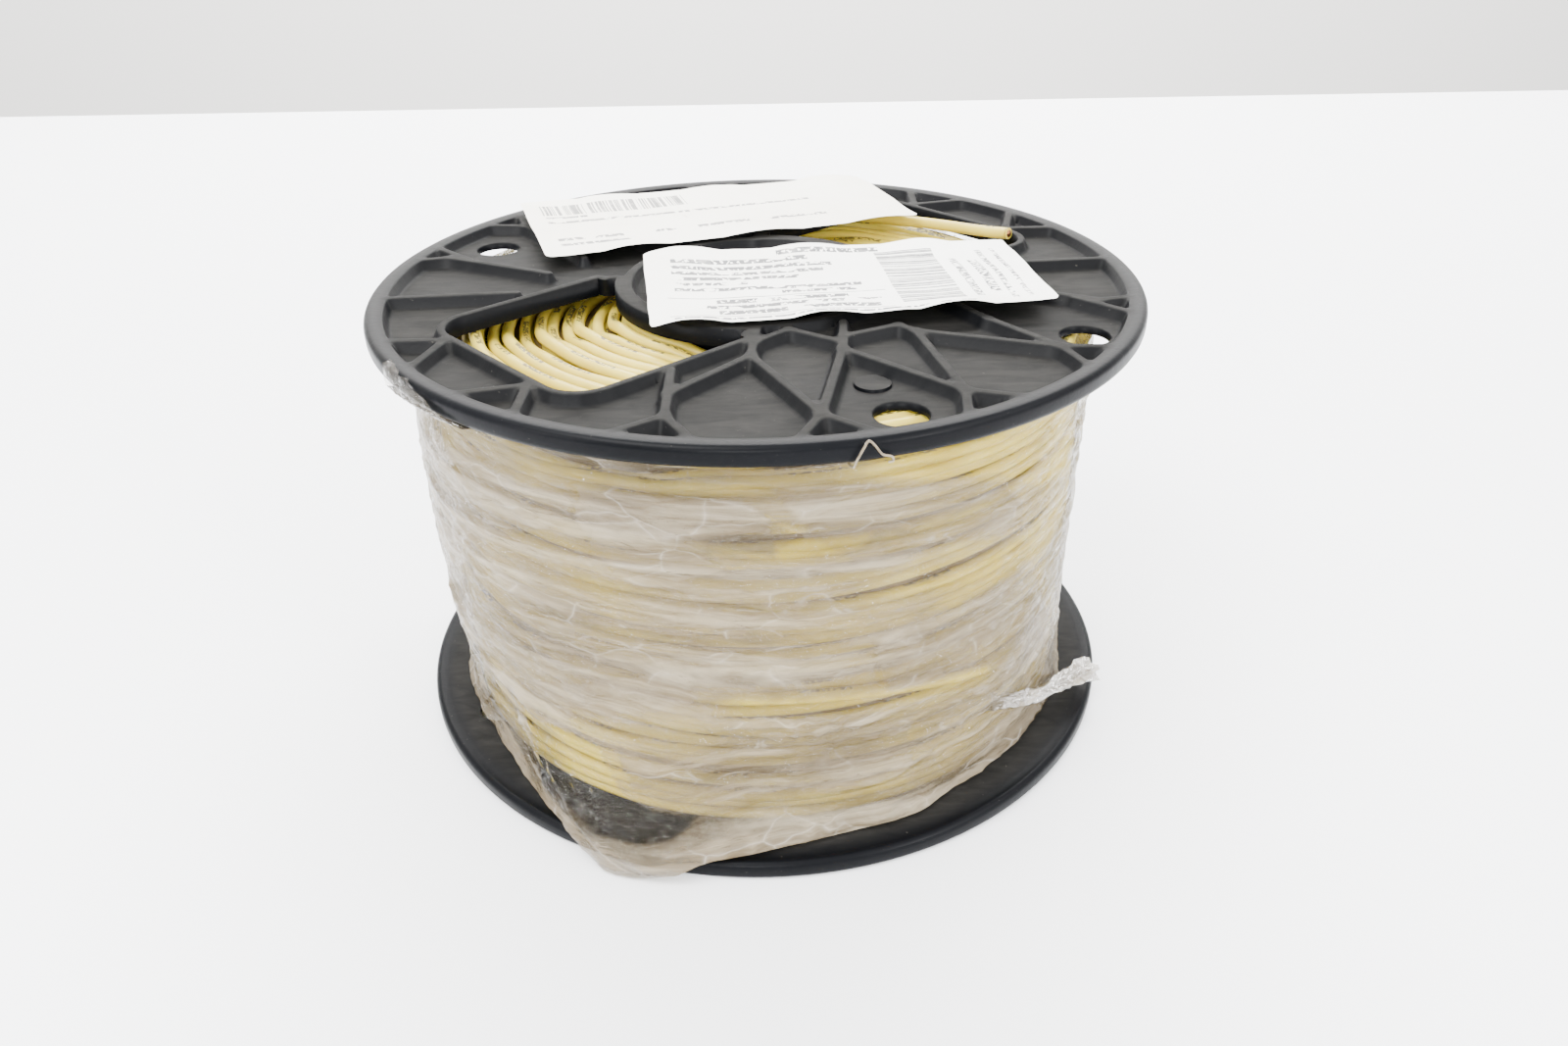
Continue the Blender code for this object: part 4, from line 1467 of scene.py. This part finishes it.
# Printed paper. The print is generic: grey rows, rules and bars, none of it readable.
# Boxes are (left, right, bottom, top) shares of the label.
prints = {
    "productLabelPaper": {
        "paper": ("EFEDE4", "F8F7F1"),
        "rows": [
            (0.07, 0.44, 0.835, 0.885), (0.07, 0.50, 0.755, 0.800), (0.07, 0.47, 0.675, 0.720),
            (0.07, 0.40, 0.595, 0.640), (0.07, 0.26, 0.520, 0.560), (0.07, 0.55, 0.435, 0.480),
            (0.34, 0.54, 0.370, 0.410), (0.17, 0.50, 0.265, 0.315), (0.13, 0.58, 0.195, 0.240),
            (0.17, 0.34, 0.110, 0.165), (0.38, 0.57, 0.110, 0.165), (0.06, 0.80, 0.035, 0.060),
            (0.36, 0.64, 0.915, 0.965),
        ],
        "columns": [
            (0.815, 0.835, 0.15, 0.75), (0.860, 0.885, 0.20, 0.70),
            (0.900, 0.915, 0.10, 0.86), (0.940, 0.952, 0.10, 0.86),
        ],
        "rules": [(0.05, 0.60, 0.335, 0.342), (0.05, 0.60, 0.080, 0.086)],
        "barsAcross": (0.625, 0.785, 0.12, 0.90),
        "ink": 0.97,
        "inkColour": "26272B",
        "stainColour": "A58B62",
    },
    "stockLabelPaper": {
        "paper": ("F0EBDD", "F7F4E8"),
        "rows": [
            (0.05, 0.16, 0.665, 0.700), (0.05, 0.78, 0.580, 0.615), (0.05, 0.22, 0.250, 0.295),
            (0.28, 0.36, 0.250, 0.295), (0.42, 0.56, 0.250, 0.295), (0.62, 0.78, 0.250, 0.295),
            (0.05, 0.23, 0.160, 0.200),
        ],
        "columns": [],
        "rules": [],
        "barsUp": (0.045, 0.445, 0.730, 0.920),
        "ink": 0.85,
        "inkColour": "26272B",
        "stainColour": "A58B62",
    },
}


def makeLabelMaterial(name):
    p = prints[name]
    material, tree, output = newMaterial(name + "Coated")
    uv = addNode(tree, "ShaderNodeUVMap", {"uv_map": "labelPlace"}).outputs["UV"]
    parts = addNode(tree, "ShaderNodeSeparateXYZ", None, {"Vector": uv})
    across, upward = parts.outputs["X"], parts.outputs["Y"]
    point = objectPoint(tree)
    letters = noiseOn(tree, scaled(tree, uv, (92.0, 26.0, 1.0)), 1.0, 1.5, 0.5)
    words = noiseOn(tree, scaled(tree, uv, (19.0, 12.0, 1.0)), 1.0, 0.0)
    shaped = addMath(tree, "GREATER_THAN", letters, 0.425)
    script = addMath(tree, "MULTIPLY", shaped, addMath(tree, "GREATER_THAN", words, 0.34))
    ink = addMath(tree, "MULTIPLY", boxMasks(tree, across, upward, p["rows"]), script)
    if p["columns"]:
        side = noiseOn(tree, scaled(tree, uv, (60.0, 70.0, 1.0)), 1.0, 1.5, 0.5)
        shaped = addMath(tree, "GREATER_THAN", side, 0.49)
        sideInk = addMath(tree, "MULTIPLY", boxMasks(tree, across, upward, p["columns"]), shaped)
        ink = addMath(tree, "MAXIMUM", ink, sideInk)
    for box in p["rules"]:
        ink = addMath(tree, "MAXIMUM", ink, boxMask(tree, across, upward, box))
    for key, scale in (("barsAcross", (0.0, 46.0, 1.0)), ("barsUp", (62.0, 0.0, 1.0))):
        if key in p:
            bars = noiseOn(tree, scaled(tree, uv, scale), 1.0, 2.0, 0.9)
            bars = addMath(tree, "GREATER_THAN", bars, 0.49)
            bars = addMath(tree, "MULTIPLY", bars, boxMask(tree, across, upward, p[key]))
            ink = addMath(tree, "MAXIMUM", ink, bars)
    worn = noiseOn(tree, point, 180.0, 4.0, 0.7)
    fade = addRamp(tree, worn, [(0.30, 0.70), (0.50, 1.0)])
    ink = addMath(tree, "MULTIPLY", addMath(tree, "MULTIPLY", ink, p["ink"]), fade)
    cloud = noiseOn(tree, point, 22.0, 4.0, 0.6)
    paper = addRamp(tree, cloud, zip((0.35, 0.6), p["paper"]))
    stain = addRamp(tree, noiseOn(tree, point, 60.0, 5.0, 0.75, 1.2), [(0.66, 0.0), (0.74, 1.0)])
    paper = addMix(tree, addMath(tree, "MULTIPLY", stain, 0.40), paper, p["stainColour"])
    colour = addMix(tree, ink, paper, p["inkColour"])
    crease = noiseOn(tree, scaled(tree, uv, (7.0, 4.0, 1.0), (0.0, 0.0, 0.5)), 1.0, 5.0, 0.6, 1.0)
    bump = bumpOn(tree, crease, 0.0012, 0.5, bumpOn(tree, worn, 0.00008, 0.5))
    setSurface(tree, output, {
        "Base Color": colour,
        "Roughness": 0.48,
        "Normal": bump,
        "Coat Weight": 0.15,
        "Coat Roughness": 0.25,
    })
    return material


def makeLabels():
    for label in labels:
        mesh = makeLabelMesh(label)
        mesh.materials.append(makeLabelMaterial(label["name"]))
        paper = newPiece(label["name"], mesh, (label["node"],))


makeLabels()
print("labels made")

# The camera stands where the photograph was taken from. Angles are radians, the focal length is
# in pixels of an image as wide as imageWidth.
camera = {
    "place": (0.0, -0.30626304, 0.2229612),
    "pitch": 0.53394,
    "yaw": 0.02086,
    "roll": -0.01297,
    "focal": 1201.91,
    "imageWidth": 1600.0,
}


def makeCamera():
    c = camera
    ahead = Vector((
        math.sin(c["yaw"]) * math.cos(c["pitch"]),
        math.cos(c["yaw"]) * math.cos(c["pitch"]),
        -math.sin(c["pitch"]),
    ))
    right = ahead.cross(Vector((0.0, 0.0, 1.0))).normalized()
    upward = right.cross(ahead)
    turnedRight = right * math.cos(c["roll"]) + upward * math.sin(c["roll"])
    turnedUp = upward * math.cos(c["roll"]) - right * math.sin(c["roll"])
    lens = bpy.data.cameras.new("photoCamera")
    lens.sensor_width = 36.0
    lens.lens = 36.0 * c["focal"] / c["imageWidth"]
    lens.clip_start = 0.01
    thing = bpy.data.objects.new("photoCamera", lens)
    bpy.context.scene.collection.objects.link(thing)
    axes = Matrix((turnedRight, turnedUp, -ahead)).transposed().to_4x4()
    thing.matrix_world = Matrix.Translation(c["place"]) @ axes
    bpy.context.scene.camera = thing


makeCamera()
print("camera made")

# Pale table top, with a wall behind it.
studio = {
    "floorColour": "F4F5F7",
    "wallColour": "F0EEEB",
    "halfWidth": 3.0,
    "front": -1.5,
    "back": 0.84,
    "wallHeight": 2.5,
    "worldStrength": 3.4,
    "sky": [(0.0, 0.22), (0.18, 0.36), (0.45, 0.85), (0.8, 1.0)],
}
# Area lamps: place, target, size and watts.
lamps = {
    "keySoftbox": ((-0.5, -0.45, 1.1), (0.0, 0.0, 0.06), (0.8, 0.6), 29.0),
    "fillSoftbox": ((0.9, -0.5, 0.7), (0.0, 0.0, 0.06), (0.9, 0.7), 11.0),
    "glintLamp": ((-0.15, -1.3, 0.50), (0.0, -0.05, 0.05), (0.24, 0.11), 12.0),
    "leftGlintLamp": ((-1.0, -0.65, 0.40), (-0.03, -0.07, 0.03), (0.16, 0.10), 6.0),
    "rightGlintLamp": ((0.85, -0.95, 0.45), (0.05, -0.07, 0.05), (0.22, 0.14), 11.0),
    "backSoftbox": ((0.2, 1.1, 1.3), (0.0, 0.0, 0.05), (1.4, 0.6), 24.0),
    "wallWash": ((0.0, 0.95, 1.5), (0.0, 1.74, 0.2), (1.8, 0.4), 120.0),
}


def newStagePiece(name, grid, colour):
    mesh = bpy.data.meshes.new(name)
    grid.to_mesh(mesh)
    grid.free()
    material, tree, output = newMaterial(name + "Paint")
    cloud = noiseOn(tree, objectPoint(tree), 3.0, 2.0)
    colour = addMix(tree, addMath(tree, "MULTIPLY", cloud, 0.03), colour, "D8DADF")
    setSurface(tree, output, {"Base Color": colour, "Roughness": 0.7})
    mesh.materials.append(material)
    thing = bpy.data.objects.new(name, mesh)
    bpy.context.scene.collection.objects.link(thing)


def makeStudio():
    s = studio
    floor = bmesh.new()
    bmesh.ops.create_grid(floor, x_segments=2, y_segments=2, size=1.0)
    for vert in floor.verts:
        vert.co.x *= s["halfWidth"]
        vert.co.y = s["front"] + (s["back"] - s["front"]) * (vert.co.y + 1.0) / 2.0
    newStagePiece("tableTop", floor, s["floorColour"])
    wall = bmesh.new()
    upright = Matrix.Rotation(math.pi / 2, 4, "X")
    bmesh.ops.create_grid(wall, x_segments=2, y_segments=2, size=1.0, matrix=upright)
    for vert in wall.verts:
        vert.co.x *= s["halfWidth"] * 1.6
        vert.co.y = s["back"] + 0.9
        vert.co.z = -0.6 + s["wallHeight"] * (vert.co.z + 1.0) / 2.0
    newStagePiece("backWall", wall, s["wallColour"])
    world = bpy.data.worlds.new("softStudio")
    world.use_nodes = True
    tree = world.node_tree
    back = tree.nodes["Background"]
    aim = addNode(tree, "ShaderNodeTexCoord").outputs["Generated"]
    height = addNode(tree, "ShaderNodeSeparateXYZ", None, {"Vector": aim}).outputs["Z"]
    sky = addRamp(tree, height, s["sky"])
    tree.links.new(sky, back.inputs["Color"])
    back.inputs["Strength"].default_value = s["worldStrength"]
    bpy.context.scene.world = world


def addSoftbox(name, place, target, size, power):
    lamp = bpy.data.lights.new(name, "AREA")
    lamp.shape = "RECTANGLE"
    lamp.size = size[0]
    lamp.size_y = size[1]
    lamp.energy = power
    thing = bpy.data.objects.new(name, lamp)
    thing.location = place
    aim = Vector(target) - Vector(place)
    thing.rotation_euler = aim.to_track_quat("-Z", "Y").to_euler()
    bpy.context.scene.collection.objects.link(thing)


makeStudio()
for name, settings in lamps.items():
    addSoftbox(name, *settings)
print("studio made")
